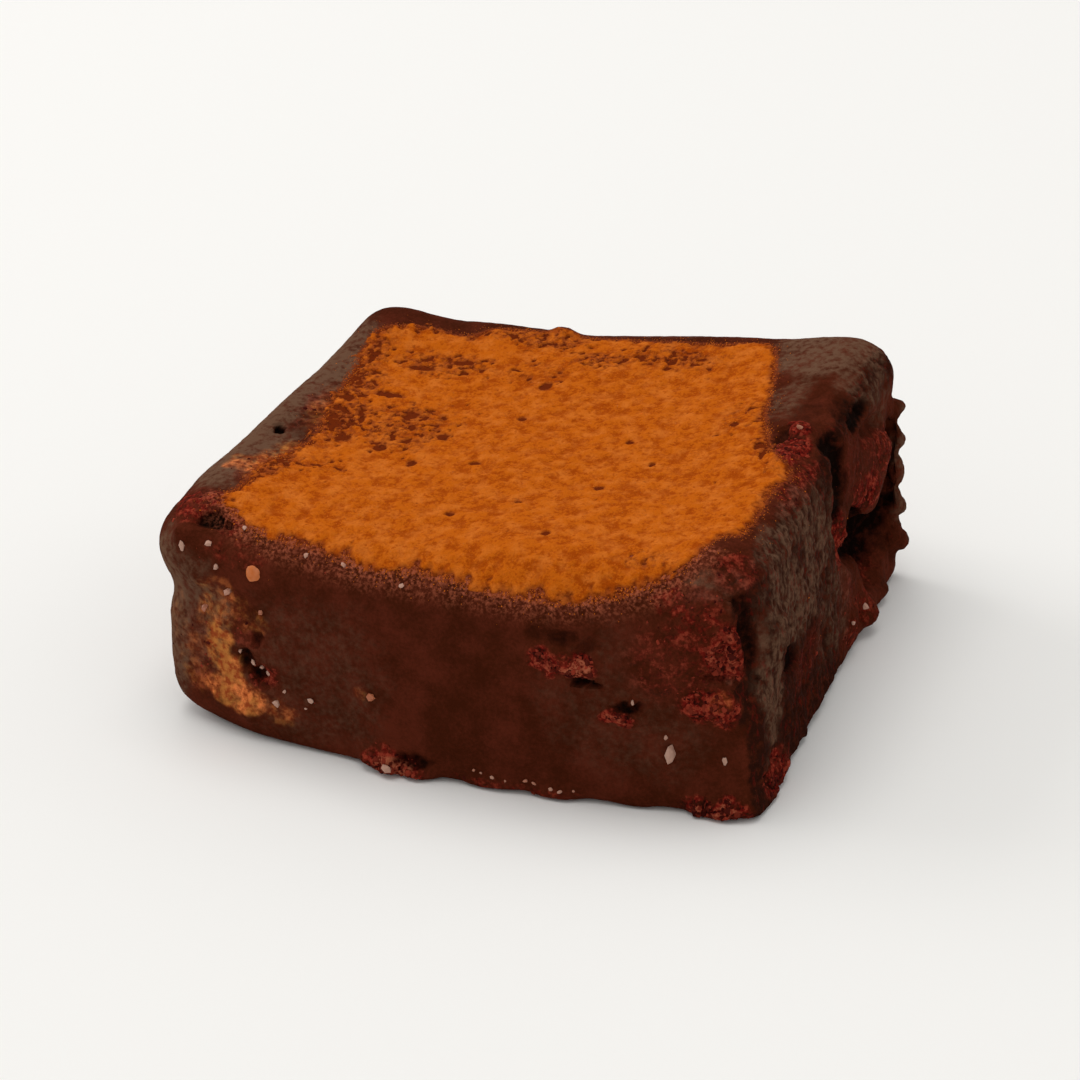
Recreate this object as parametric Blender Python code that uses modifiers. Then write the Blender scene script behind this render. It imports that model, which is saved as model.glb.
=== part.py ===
"""A fudge brownie, cut from a tray into one low block.

The block is a rounded box whose eight corners sit a little out of true. The top is dished and its edges
are rolled over, the front cut face bellies out, the left face has a crease half way up, and the right face
is torn: a hollow with a flake standing in front of it, and a row of beads down its far edge. Crumbs stick
to the cut faces.
X runs left to right along the long front face, Y runs from front to back, and Z is up from the flat base.
"""

import math

import bmesh
import bpy
from mathutils import Matrix, Vector, noise
from mathutils.bvhtree import BVHTree

MM = 0.001

# The block before it is bent, and the spacing of its mesh.
WIDTH = 60 * MM
DEPTH = 53 * MM
HEIGHT = 26 * MM
MESH_STEP = 1.1 * MM

# The finished skin: its voxels before it is thinned out, the smoothing, and the triangles that are kept.
SKIN_VOXEL = 0.5 * MM
SKIN_SMOOTHING = 3
SKIN_TRIANGLES = 10400
BASE_TRIM = 0.2 * MM

# How far each corner sits from the true box: (left-right, front-back, up-down), by (side, end, level).
CORNER_SHIFT = {
    (-1, -1, -1): (-3.4 * MM, 0.8 * MM, 0),
    (1, -1, -1): (0.8 * MM, -0.3 * MM, 0),
    (-1, 1, -1): (-0.4 * MM, 0, 0),
    (1, 1, -1): (0.8 * MM, -0.4 * MM, 0),
    (-1, -1, 1): (-4.8 * MM, -1.2 * MM, -1.8 * MM),
    (1, -1, 1): (0, 0.2 * MM, 1.2 * MM),
    (-1, 1, 1): (-0.6 * MM, -0.5 * MM, -0.5 * MM),
    (1, 1, 1): (0.6 * MM, 1.1 * MM, 3.7 * MM),
}

# Radii of the rolled edges.
TOP_RADIUS = 4.0 * MM
FRONT_EXTRA_RADIUS = 2.0 * MM
RIGHT_EXTRA_RADIUS = 1.2 * MM
BASE_RADIUS = 1.4 * MM
LEFT_BASE_EXTRA_RADIUS = 2.6 * MM

# Broad forms of the top and the cut faces.
TOP_DISH = 2.1 * MM
DISH_LOSS_AT_ENDS = 0.35
FRONT_BELLY = 3.1 * MM
BACK_BELLY = 0.9 * MM
BELLY_LOSS_AT_TOP = 0.35
CREASE_HEIGHT = 14.4 * MM
CREASE_DEPTH = 0.9 * MM
CREASE_HALF_WIDTH = 2.0 * MM
CREASE_WANDER = 1.5 * MM
CREASE_WAVELENGTH = 44 * MM
CREASE_SHARE_ON_FRONT = 0.6
LIP_REACH = 1.6 * MM
LIP_HEIGHT = 2.6 * MM
LIP_RAG_LENGTH = 2.6 * MM

# Mounds on the top: (x, y, height, half width).
MOUNDS = (
    (-25.5 * MM, 21.5 * MM, 2.0 * MM, 5.5 * MM),
    (-14.0 * MM, 23.0 * MM, 0.9 * MM, 6.0 * MM),
    (23.5 * MM, 21.0 * MM, 0.7 * MM, 6.5 * MM),
    (27.0 * MM, -22.0 * MM, 0.7 * MM, 5.0 * MM),
    (-27.0 * MM, -21.0 * MM, 0.6 * MM, 4.0 * MM),
)

# Relief of the crumb: waves of noise as (wavelength, height). It fades out above the base.
LUMPS = (11.0 * MM, 0.55 * MM)
GRAIN = (3.6 * MM, 0.24 * MM)
RELIEF_FADE_HEIGHT = 2 * MM

# The upright striations of the right face.
STRIATION_SPACING = 2.3 * MM
STRIATION_LENGTH = 11.5 * MM
STRIATION_HEIGHT = 0.42 * MM
STRIATION_WANDER = 2.0 * MM
STRIATION_WAVELENGTH = 6 * MM

# The torn hollow in the right face, as overlapping lumps that are cut away: (centre, radii).
HOLLOW_LUMPS = (
    ((32.5 * MM, 17.6 * MM, 8.8 * MM), (6.5 * MM, 7.0 * MM, 5.4 * MM)),
    ((32.3 * MM, 9.6 * MM, 13.4 * MM), (4.4 * MM, 5.0 * MM, 4.6 * MM)),
    ((32.0 * MM, 22.4 * MM, 14.6 * MM), (5.5 * MM, 3.4 * MM, 6.0 * MM)),
    ((31.8 * MM, 4.2 * MM, 23.6 * MM), (2.6 * MM, 2.6 * MM, 3.6 * MM)),
)
HOLLOW_ROUGHNESS = 0.22

# The flake that stands in front of the hollow, by the corners of its outer face, in order round it.
FLAKE_CORNERS = (
    (30.2 * MM, 8.1 * MM, 25.2 * MM),
    (32.5 * MM, 20.3 * MM, 19.8 * MM),
    (32.0 * MM, 13.6 * MM, 13.2 * MM),
    (30.3 * MM, 4.6 * MM, 20.0 * MM),
)
FLAKE_THICKNESS = 3.4 * MM
FLAKE_LOSS_AT_RIM = 0.5
FLAKE_ROUGHNESS = 0.7 * MM
FLAKE_WAVELENGTH = 2.6 * MM

# The row of beads down the back right edge.
BEAD_COUNT = 5
BEAD_RADIUS = 1.2 * MM
BEAD_FOOT = (30.7 * MM, 25.4 * MM, 4.6 * MM)
BEAD_HEAD = (30.3 * MM, 25.6 * MM, 20.6 * MM)
BEAD_WOBBLE = 0.25 * MM
BEAD_UNEVENNESS = 0.15

# Each face as the axis that runs across it, the axis that runs up it, and its outward direction.
FACES = {
    "front": (0, 2, Vector((0, -1, 0))),
    "back": (0, 2, Vector((0, 1, 0))),
    "left": (1, 2, Vector((-1, 0, 0))),
    "right": (1, 2, Vector((1, 0, 0))),
    "top": (0, 1, Vector((0, 0, 1))),
}

# Crumbs and torn edges that stand out of the faces, all in millimetres:
# (face, place across, place up, (radius across, radius up, radius outward), turn in degrees).
CRUMBS = (
    # The crumbly chunk on the front, and the flake below it.
    ("front", 10.4, 16.9, (1.5, 1.1, 0.9), 0),
    ("front", 12.3, 16.2, (1.8, 1.5, 1.2), -10),
    ("front", 14.4, 15.4, (1.3, 1.0, 0.9), 0),
    ("front", 18.1, 10.8, (2.4, 0.9, 0.8), -31),
    # The broken patch and the rough lumps by the front right edge.
    ("front", 24.6, 12.2, (1.7, 0.9, 0.8), -15),
    ("front", 26.4, 11.9, (1.6, 1.1, 0.9), 20),
    ("front", 27.9, 13.3, (1.1, 1.5, 0.8), 0),
    ("front", 27.9, 18.2, (1.2, 1.8, 0.9), 0),
    ("front", 25.8, 19.8, (1.6, 1.1, 0.8), 20),
    ("front", 27.2, 21.6, (1.4, 1.3, 0.7), 0),
    ("front", 23.6, 21.4, (1.7, 1.0, 0.6), 15),
    ("front", 20.6, 21.8, (1.3, 0.8, 0.5), 0),
    # The foot of the front.
    ("front", -9.4, 1.8, (1.3, 1.3, 1.2), 0),
    ("front", -7.2, 1.2, (1.8, 1.4, 1.4), 10),
    ("front", -3.8, 1.0, (2.4, 1.2, 1.1), 0),
    ("front", 3.6, 0.9, (3.4, 0.8, 0.6), 3),
    ("front", 10.2, 1.0, (3.0, 1.0, 0.8), -3),
    ("front", 18.2, 0.8, (2.2, 0.7, 0.5), 0),
    ("front", 26.4, 1.0, (2.6, 1.1, 0.8), 0),
    ("front", 29.6, 1.8, (1.6, 1.3, 0.9), 0),
    # The front left corner.
    ("front", -29.6, 22.2, (1.5, 1.2, 0.8), 0),
    ("front", -27.4, 18.6, (1.6, 1.2, 0.6), 15),
    ("front", -25.2, 14.0, (1.3, 1.3, 0.6), 0),
    ("front", -25.8, 4.6, (1.6, 1.4, 0.8), 0),
    ("front", -22.8, 3.4, (1.8, 1.1, 0.7), 0),
    # The right face: the ridge and the bulge by its front edge, the lumps under the hollow, and its far rim.
    ("right", -21.4, 16.0, (1.1, 4.8, 0.8), 4),
    ("right", -18.6, 16.8, (1.4, 2.4, 0.9), -8),
    ("right", -17.2, 6.4, (1.3, 4.4, 0.7), -6),
    ("right", -7.0, 11.0, (0.9, 3.6, 0.6), 5),
    ("right", -1.8, 7.0, (0.8, 3.2, 0.6), -4),
    ("right", -19.4, 2.2, (1.7, 1.4, 0.8), 0),
    ("right", 6.8, 4.4, (1.7, 1.7, 0.9), 0),
    ("right", 12.2, 2.6, (1.9, 1.5, 1.2), 0),
    ("right", 18.6, 1.8, (2.0, 1.2, 1.1), 0),
    ("right", 24.6, 12.6, (1.3, 9.5, 0.7), 0),
    # The left and back faces.
    ("left", -10.0, 7.0, (1.7, 1.3, 0.9), 0),
    ("left", 4.5, 17.5, (2.4, 1.2, 0.7), 20),
    ("left", 12.0, 3.2, (2.4, 1.4, 1.0), 0),
    ("back", -21.0, 14.0, (1.4, 2.6, 0.7), 10),
    ("back", -12.0, 8.6, (2.3, 1.6, 1.2), -15),
    ("back", 8.0, 16.0, (1.9, 1.3, 1.1), 0),
    ("back", 14.5, 3.4, (2.7, 1.4, 1.1), 0),
    ("back", 22.0, 10.0, (1.2, 2.8, 0.7), -8),
    # The rim of the top.
    ("top", -7.0, 23.8, (1.7, 1.1, 1.0), 0),
    ("top", 26.5, -2.4, (1.0, 1.3, 0.6), 0),
    ("top", 26.2, 4.0, (1.1, 1.2, 0.6), 0),
)
CRUMB_ROUGHNESS = 0.28
LUMP_WAVES = 1.6

# Tears and pits in the faces, all in millimetres: (face, (across, up) of each end, half width, depth).
TEARS = (
    ("front", (-22.8, 10.4), (-18.4, 6.8), 0.8, 1.2),
    ("front", (-28.0, 24.0), (-26.2, 23.4), 0.9, 1.0),
    ("front", (10.8, 14.7), (15.2, 13.5), 0.6, 0.9),
    ("front", (18.7, 12.6), (20.1, 11.8), 0.7, 0.9),
    ("front", (29.2, 21.4), (29.6, 10.2), 0.8, 1.0),
    ("right", (0.4, 20.6), (4.4, 12.6), 1.1, 1.4),
    ("right", (11.5, 23.6), (18.5, 22.6), 1.3, 1.8),
    ("right", (-12.4, 15.6), (-10.4, 8.6), 0.9, 1.0),
    ("left", (12.0, 10.4), (19.0, 8.6), 0.9, 1.2),
    ("left", (-6.0, 11.0), (-1.0, 12.6), 0.8, 1.0),
    ("back", (3.0, 20.0), (5.4, 10.0), 0.9, 1.2),
    ("back", (-21.0, 5.6), (-15.0, 4.2), 1.0, 1.2),
    ("top", (-28.5, -6.2), (-27.7, -4.2), 0.8, 0.8),
)

# How far a tear strays sideways and how narrow its ends are, as shares of its half width.
TEAR_WANDER = 0.3
TEAR_END_SHARE = 0.6

# Edges shorter than this are closed up.
SHORTEST_EDGE = 0.06 * MM
PLANE_TOLERANCE = 0.001 * MM

FUDGE_COLOUR = (0.050, 0.011, 0.005, 1.0)
FUDGE_ROUGHNESS = 0.6


def clear_scene():
    for old in list(bpy.data.objects):
        bpy.data.objects.remove(old)


def ramp(value, low, high):
    """0 below low, 1 above high, and smooth between them."""
    share = min(1.0, max(0.0, (value - low) / (high - low)))
    return share * share * (3 - 2 * share)


def hill(distance, half_width):
    return math.exp(-((distance / half_width) ** 2))


def edge_radius(point):
    """The radius of the rolled edge nearest to a point of the box."""
    front = ramp(-point.y, 0.2 * DEPTH, 0.5 * DEPTH)
    right = ramp(point.x, 0.2 * WIDTH, 0.5 * WIDTH)
    left = ramp(-point.x, 0.3 * WIDTH, 0.5 * WIDTH)
    top = TOP_RADIUS + FRONT_EXTRA_RADIUS * front + RIGHT_EXTRA_RADIUS * right
    base = BASE_RADIUS + LEFT_BASE_EXTRA_RADIUS * left
    level = ramp(point.z, 0.25 * HEIGHT, 0.75 * HEIGHT)
    return base + (top - base) * level


def rolled(point):
    """A point of the sharp box, moved onto the box with rolled edges. Both boxes stand on z = 0."""
    radius = edge_radius(point)
    half = Vector((WIDTH / 2, DEPTH / 2, HEIGHT / 2))
    centred = point - Vector((0, 0, half.z))
    core = Vector(
        max(-(h - radius), min(h - radius, c)) for c, h in zip(centred, half)
    )
    outward = centred - core
    if outward.length > 0:
        core += outward.normalized() * radius
    return core + Vector((0, 0, half.z))


def out_of_true(point):
    """A point of the block, moved with the corners round it."""
    share = Vector((point.x / WIDTH + 0.5, point.y / DEPTH + 0.5, point.z / HEIGHT))
    moved = point.copy()
    for (side, end, level), shift in CORNER_SHIFT.items():
        weight = share.x if side > 0 else 1 - share.x
        weight *= share.y if end > 0 else 1 - share.y
        weight *= share.z if level > 0 else 1 - share.z
        moved += Vector(shift) * weight
    return moved


def bellied(point):
    """The front and back cut faces swell between their ends."""
    along = 1 - (2 * point.x / WIDTH) ** 2
    height = 1 - BELLY_LOSS_AT_TOP * ramp(point.z, 0.3 * HEIGHT, HEIGHT)
    front = ramp(-point.y, 0.1 * DEPTH, 0.5 * DEPTH)
    back = ramp(point.y, 0.1 * DEPTH, 0.5 * DEPTH)
    swell = BACK_BELLY * back - FRONT_BELLY * front
    return point + Vector((0, swell * max(0.0, along) * height, 0))


def dished(point):
    """The top sinks between its edges, and carries a few mounds."""
    top = ramp(point.z, 0.55 * HEIGHT, 0.95 * HEIGHT)
    across = max(0.0, 1 - (2 * point.x / WIDTH) ** 4)
    down = max(0.0, 1 - DISH_LOSS_AT_ENDS * (2 * point.y / DEPTH) ** 2)
    rise = -TOP_DISH * across * down
    for x, y, height, half_width in MOUNDS:
        rise += height * hill(math.hypot(point.x - x, point.y - y), half_width)
    return point + Vector((0, 0, rise * top))


def creased(point):
    """A crease runs along the left face, half way up, and ends on the front face."""
    left = ramp(-point.x, 0.30 * WIDTH, 0.44 * WIDTH)
    crease_height = CREASE_HEIGHT + CREASE_WANDER * math.sin(math.tau * point.y / CREASE_WAVELENGTH)
    depth = CREASE_DEPTH * left * hill(point.z - crease_height, CREASE_HALF_WIDTH)
    side = ramp(-point.x, 0.42 * WIDTH, 0.49 * WIDTH)
    front = ramp(-point.y, 0.42 * DEPTH, 0.49 * DEPTH)
    return point + Vector((depth * side, CREASE_SHARE_ON_FRONT * depth * front, 0))


def lipped(point):
    """A torn skirt of crumb flares out round the foot of the front right corner."""
    low = 1 - ramp(point.z, 0.2 * LIP_HEIGHT, LIP_HEIGHT)
    corner = ramp(point.x, 0.36 * WIDTH, 0.47 * WIDTH)
    corner *= ramp(-point.y, 0.10 * DEPTH, 0.45 * DEPTH)
    ragged = 0.7 + 0.6 * noise.noise(point / LIP_RAG_LENGTH)
    outward = Vector((point.x, point.y, 0)).normalized()
    return point + outward * (LIP_REACH * low * corner * ragged)


def relief(point, normal):
    """Height of the crumb's relief above the smooth block, along its normal."""
    length, height = LUMPS
    rise = height * noise.noise(point / length)
    length, height = GRAIN
    side = 1 - abs(normal.z)
    front = max(0.0, -normal.y)
    rise += height * noise.noise(point / length) * (0.5 + 0.8 * side - 0.5 * front)
    right = ramp(normal.x, 0.35, 0.8)
    strayed = point.y + STRIATION_WANDER * noise.noise(point / STRIATION_WAVELENGTH)
    comb = noise.noise(Vector((strayed / STRIATION_SPACING, point.z / STRIATION_LENGTH, 0)))
    return rise + STRIATION_HEIGHT * comb * right


def block_mesh():
    """The sharp box, cut into a grid of even squares over all but its base."""
    mesh = bmesh.new()
    bmesh.ops.create_cube(mesh, size=1.0)
    bmesh.ops.scale(mesh, vec=(WIDTH, DEPTH, HEIGHT), verts=mesh.verts)
    bmesh.ops.translate(mesh, vec=(0, 0, HEIGHT / 2), verts=mesh.verts)
    for axis, length, start in ((0, WIDTH, -WIDTH / 2), (1, DEPTH, -DEPTH / 2), (2, HEIGHT, 0)):
        count = round(length / MESH_STEP)
        normal = Vector((0, 0, 0))
        normal[axis] = 1
        for index in range(1, count):
            everything = mesh.verts[:] + mesh.edges[:] + mesh.faces[:]
            bmesh.ops.bisect_plane(
                mesh,
                geom=everything,
                dist=PLANE_TOLERANCE,
                plane_co=normal * (start + length * index / count),
                plane_no=normal,
            )
    return mesh


def on_base(face):
    return all(vertex.co.z < PLANE_TOLERANCE for vertex in face.verts)


def block_object():
    """The block with every form but the hollow, the flake and the crumbs."""
    mesh = block_mesh()
    for vertex in mesh.verts:
        vertex.co = rolled(vertex.co)
        for form in (out_of_true, bellied, dished, creased, lipped):
            vertex.co = form(vertex.co)
    mesh.normal_update()
    for vertex in mesh.verts:
        fade = ramp(vertex.co.z, 0, RELIEF_FADE_HEIGHT)
        vertex.co += vertex.normal * relief(vertex.co, vertex.normal) * fade
    base = [face for face in mesh.faces if on_base(face)]
    bmesh.ops.dissolve_faces(mesh, faces=base, use_verts=True)
    return named_object("brownie", mesh)


def named_object(name, mesh):
    data = bpy.data.meshes.new(name)
    mesh.to_mesh(data)
    mesh.free()
    made = bpy.data.objects.new(name, data)
    bpy.context.scene.collection.objects.link(made)
    return made


def lump(name, centre, radii, roughness, subdivisions=2, axes=None):
    """An uneven ball along the given axes. Its place seeds the unevenness, which is a share of its radii."""
    mesh = bmesh.new()
    bmesh.ops.create_icosphere(mesh, subdivisions=subdivisions, radius=1.0)
    seed = Vector(centre) / MM
    axes = axes or Matrix.Identity(3)
    for vertex in mesh.verts:
        swell = 1 + roughness * noise.noise(vertex.co * LUMP_WAVES + seed)
        local = Vector(share * radius * swell for share, radius in zip(vertex.co, radii))
        vertex.co = Vector(centre) + axes @ local
    bmesh.ops.recalc_face_normals(mesh, faces=mesh.faces[:])
    return named_object(name, mesh)


def on_face(surface, face, across, up):
    """The point of the surface seen at a place of a face, looking straight at it. Places are in mm."""
    across_axis, up_axis, outward = FACES[face]
    start = outward * (WIDTH + DEPTH)
    start[across_axis] = across * MM
    start[up_axis] = up * MM
    return surface.ray_cast(start, -outward)[0]


def face_axes(face, turn):
    """A matrix whose columns run across, up and out of a face, turned about the outward one."""
    across_axis, up_axis, outward = FACES[face]
    across = Vector((0, 0, 0))
    across[across_axis] = 1
    up = Vector((0, 0, 0))
    up[up_axis] = 1
    angle = math.radians(turn)
    columns = (
        across * math.cos(angle) + up * math.sin(angle),
        up * math.cos(angle) - across * math.sin(angle),
        outward,
    )
    return Matrix(columns).transposed()


def crumbs(surface):
    made = []
    for index, (face, across, up, radii, turn) in enumerate(CRUMBS):
        centre = on_face(surface, face, across, up)
        sizes = [radius * MM for radius in radii]
        axes = face_axes(face, turn)
        made.append(lump(f"crumb_{index}", centre, sizes, CRUMB_ROUGHNESS, axes=axes))
    return made


def tears(surface):
    """Each tear is a chain of overlapping lumps from one end to the other."""
    made = []
    for index, (face, start, end, half_width, depth) in enumerate(TEARS):
        length = math.dist(start, end)
        count = max(2, math.ceil(length / half_width) + 1)
        axes = face_axes(face, 0)
        for step in range(count):
            share = step / (count - 1)
            across, up = Vector(start).lerp(Vector(end), share)
            across += TEAR_WANDER * half_width * math.sin(2 * step)
            taper = TEAR_END_SHARE + (1 - TEAR_END_SHARE) * math.sin(math.pi * share)
            sizes = (half_width * taper * MM, half_width * MM, depth * taper * MM)
            centre = on_face(surface, face, across, up)
            made.append(lump(f"tear_{index}_{step}", centre, sizes, CRUMB_ROUGHNESS, axes=axes))
    return made


def flake():
    """A four-cornered slab of torn crumb, rooted in the face on its front side and thinner at its rims."""
    mesh = bmesh.new()
    bmesh.ops.create_cube(mesh, size=1.0)
    bmesh.ops.subdivide_edges(mesh, edges=mesh.edges[:], cuts=4, use_grid_fill=True)
    top_front, top_back, foot_back, foot_front = (Vector(corner) for corner in FLAKE_CORNERS)
    inward = (top_back - top_front).cross(foot_front - top_front).normalized()
    for vertex in mesh.verts:
        back, up, out = (value + 0.5 for value in vertex.co)
        foot = foot_front.lerp(foot_back, back)
        place = foot.lerp(top_front.lerp(top_back, back), up)
        rim = max(abs(back - 0.5), abs(up - 0.5)) * 2
        thickness = FLAKE_THICKNESS * (1 - FLAKE_LOSS_AT_RIM * rim ** 3)
        place += inward * ((FLAKE_THICKNESS - thickness) / 2 + thickness * (1 - out))
        place += inward * FLAKE_ROUGHNESS * noise.noise(place / FLAKE_WAVELENGTH)
        vertex.co = place
    bmesh.ops.recalc_face_normals(mesh, faces=mesh.faces[:])
    return named_object("flake", mesh)


def beads():
    made = []
    for index in range(BEAD_COUNT):
        share = index / (BEAD_COUNT - 1)
        centre = Vector(BEAD_FOOT).lerp(Vector(BEAD_HEAD), share)
        centre.x += BEAD_WOBBLE * math.sin(2 * index)
        size = BEAD_RADIUS * (1 + BEAD_UNEVENNESS * math.sin(3 * index))
        made.append(lump(f"bead_{index}", centre, (size, size, size), CRUMB_ROUGHNESS))
    return made


def apply_modifiers(target):
    bpy.context.view_layer.update()
    graph = bpy.context.evaluated_depsgraph_get()
    result = bpy.data.meshes.new_from_object(target.evaluated_get(graph))
    target.modifiers.clear()
    target.data = result


def apply_boolean(target, operation, tools):
    """One Boolean on a collection of tools, applied, with the tools then removed."""
    group = bpy.data.collections.new(operation.lower())
    bpy.context.scene.collection.children.link(group)
    for tool in tools:
        bpy.context.scene.collection.objects.unlink(tool)
        group.objects.link(tool)
        tool.hide_render = True
        tool.display_type = "WIRE"
    modifier = target.modifiers.new(operation.lower(), "BOOLEAN")
    modifier.operation = operation
    modifier.operand_type = "COLLECTION"
    modifier.collection = group
    modifier.solver = "EXACT"
    apply_modifiers(target)
    for tool in tools:
        bpy.data.objects.remove(tool)
    bpy.data.collections.remove(group)


def blend_skin(body):
    """One even skin over the block and all that is stuck to it, thinned out where it is nearly flat."""
    remesh = body.modifiers.new("skin", "REMESH")
    remesh.mode = "VOXEL"
    remesh.voxel_size = SKIN_VOXEL
    smooth = body.modifiers.new("smooth", "SMOOTH")
    smooth.iterations = SKIN_SMOOTHING
    apply_modifiers(body)
    thin = body.modifiers.new("thin", "DECIMATE")
    thin.ratio = SKIN_TRIANGLES / (2 * len(body.data.polygons))
    apply_modifiers(body)


def drop_scraps(mesh):
    """Keeps the largest piece of the mesh and removes any crumb that hangs loose."""
    unseen = set(mesh.verts)
    pieces = []
    while unseen:
        piece = set()
        reached = [unseen.pop()]
        while reached:
            vertex = reached.pop()
            piece.add(vertex)
            near = {edge.other_vert(vertex) for edge in vertex.link_edges} & unseen
            unseen -= near
            reached.extend(near)
        pieces.append(piece)
    pieces.sort(key=len)
    for piece in pieces[:-1]:
        bmesh.ops.delete(mesh, geom=list(piece), context="VERTS")


def flatten_base(body):
    """Trims the foot to one flat face, closes short edges and splits the faces into triangles."""
    mesh = bmesh.new()
    mesh.from_mesh(body.data)
    drop_scraps(mesh)
    bmesh.ops.bisect_plane(
        mesh,
        geom=mesh.verts[:] + mesh.edges[:] + mesh.faces[:],
        plane_co=(0, 0, BASE_TRIM),
        plane_no=(0, 0, 1),
        clear_inner=True,
    )
    rim = [edge for edge in mesh.edges if edge.is_boundary]
    bmesh.ops.edgeloop_fill(mesh, edges=rim)
    bmesh.ops.remove_doubles(mesh, verts=mesh.verts[:], dist=SHORTEST_EDGE)
    bmesh.ops.dissolve_degenerate(mesh, edges=mesh.edges[:], dist=SHORTEST_EDGE)
    bmesh.ops.triangulate(mesh, faces=mesh.faces[:])
    bmesh.ops.recalc_face_normals(mesh, faces=mesh.faces[:])
    mesh.to_mesh(body.data)
    mesh.free()


def stand_at_origin(body):
    """Puts the middle of the base of the object's box at the origin."""
    places = [vertex.co for vertex in body.data.vertices]
    low = Vector(min(place[axis] for place in places) for axis in range(3))
    high = Vector(max(place[axis] for place in places) for axis in range(3))
    middle = (low + high) / 2
    body.data.transform(Matrix.Translation((-middle.x, -middle.y, -low.z)))


def fudge_material():
    material = bpy.data.materials.new("fudge")
    material.use_nodes = True
    shader = material.node_tree.nodes["Principled BSDF"]
    shader.inputs["Base Color"].default_value = FUDGE_COLOUR
    shader.inputs["Roughness"].default_value = FUDGE_ROUGHNESS
    shader.inputs["Metallic"].default_value = 0.0
    return material


def build():
    clear_scene()
    body = block_object()
    surface = BVHTree.FromPolygons(
        [vertex.co for vertex in body.data.vertices],
        [polygon.vertices for polygon in body.data.polygons],
    )
    hollow = [
        lump(f"hollow_{index}", centre, radii, HOLLOW_ROUGHNESS, subdivisions=3)
        for index, (centre, radii) in enumerate(HOLLOW_LUMPS)
    ]
    stuck_on = [flake()] + beads() + crumbs(surface)
    apply_boolean(body, "DIFFERENCE", hollow + tears(surface))
    apply_boolean(body, "UNION", stuck_on)
    blend_skin(body)
    flatten_base(body)
    stand_at_origin(body)
    body.data.materials.clear()
    body.data.materials.append(fudge_material())
    body.data.shade_smooth()
    home = bpy.data.collections.new("brownie")
    bpy.context.scene.collection.children.link(home)
    bpy.context.scene.collection.objects.unlink(body)
    home.objects.link(body)


build()
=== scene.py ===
"""The looks of a fudge brownie whose top is dusted with orange-brown cocoa powder.

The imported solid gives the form. The fudge is a finer skin over it, with the grain of each face: the
smooth front, the wrinkled right face, the crumbly chunks, the torn hollow and the flake before it. The
powder is a thin sheet that dips under the fudge where it runs out, with loose grains on it and round its
rim. Sugar crystals and loose crumbs lie on the cut faces.

Lengths are in millimetres here, and become metres when a mesh is made. X runs left to right along the
front face, Y from front to back, and Z is up from the flat base.
"""

import math

import bmesh
import bpy
import numpy as np
from mathutils import Matrix, Vector
from mathutils.bvhtree import BVHTree


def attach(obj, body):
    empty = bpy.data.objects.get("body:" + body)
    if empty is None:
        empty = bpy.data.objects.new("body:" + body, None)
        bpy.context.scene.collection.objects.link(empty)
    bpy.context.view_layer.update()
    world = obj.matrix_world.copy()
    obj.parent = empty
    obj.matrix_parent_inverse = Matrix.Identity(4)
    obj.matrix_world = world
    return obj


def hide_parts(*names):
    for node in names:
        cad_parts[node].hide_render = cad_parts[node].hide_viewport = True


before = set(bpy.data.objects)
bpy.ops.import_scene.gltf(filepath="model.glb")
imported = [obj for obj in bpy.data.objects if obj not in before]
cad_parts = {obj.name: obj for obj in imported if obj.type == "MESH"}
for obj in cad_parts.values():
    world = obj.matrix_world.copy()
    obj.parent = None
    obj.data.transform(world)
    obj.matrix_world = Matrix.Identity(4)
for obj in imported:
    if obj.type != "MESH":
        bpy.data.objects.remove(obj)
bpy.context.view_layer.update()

MM = 0.001

# ---------------------------------------------------------------- camera, floor and light

CAMERA_PLACE = (113.8, -288.1, 176.4)
CAMERA_TARGET = (0, 0, 13)
CAMERA_LEAN_DEGREES = -2.4
CAMERA_LENS = 111
CAMERA_NEAREST_M = 0.01
SENSOR_WIDTH = 36
FLOOR_SIZE_M = 8.0
FLOOR_COLOUR = (0.90, 0.895, 0.88, 1)
FLOOR_ROUGHNESS = 0.9
WORLD_COLOUR = (1.0, 0.995, 0.98, 1)
WORLD_STRENGTH = 0.50

# Soft boxes: (name, place, width in m, watts, colour). Each faces the point that the camera looks at.
SOFT_BOXES = (
    ("overhead", (-150, 60, 1400), 1.2, 9.5, (1.0, 0.985, 0.96)),
    ("left", (-1250, 150, 700), 0.9, 6.0, (1.0, 0.985, 0.97)),
    ("right", (1050, 750, 700), 0.8, 1.2, (1.0, 0.985, 0.97)),
)

# ---------------------------------------------------------------- the powder on the top

# The rim of the powder, seen from above, from the front left corner anticlockwise.
POWDER_RIM = (
    (-26.2, -21.2), (-22.8, -23.6), (-19.2, -24.7), (-15.1, -25.1), (-10.9, -25.8), (-6.5, -26.6),
    (-2.3, -26.3), (4.8, -27.2), (9.1, -27.2), (13.3, -26.8), (16.8, -26.1), (19.6, -25.2),
    (22.3, -23.8), (24.6, -21.8), (26.0, -18.4), (27.7, -16.9), (28.1, -12.2), (28.1, -8.0),
    (28.7, -3.6), (27.4, -2.0), (25.5, 0.6), (22.8, 7.2), (21.6, 13.0), (20.2, 19.6),
    (17.8, 23.8), (11.9, 24.0), (5.0, 24.2), (-1.5, 24.6), (-6.5, 24.7), (-10.5, 24.1),
    (-13.8, 23.3), (-16.0, 21.4), (-20.0, 21.6), (-23.6, 20.4), (-26.0, 18.6), (-26.0, 14.5),
    (-25.2, 8.0), (-24.8, 2.5), (-23.6, -3.5), (-24.2, -7.0), (-25.8, -12.0), (-25.6, -17.5),
)

# The height of the front part of that rim: (x, z).
FRONT_RIM_HEIGHT = (
    (-26, 24.5), (-20, 23.0), (-10, 22.1), (4, 22.1),
    (12, 21.8), (17, 22.6), (22, 23.8), (28, 26.0),
)

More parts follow.
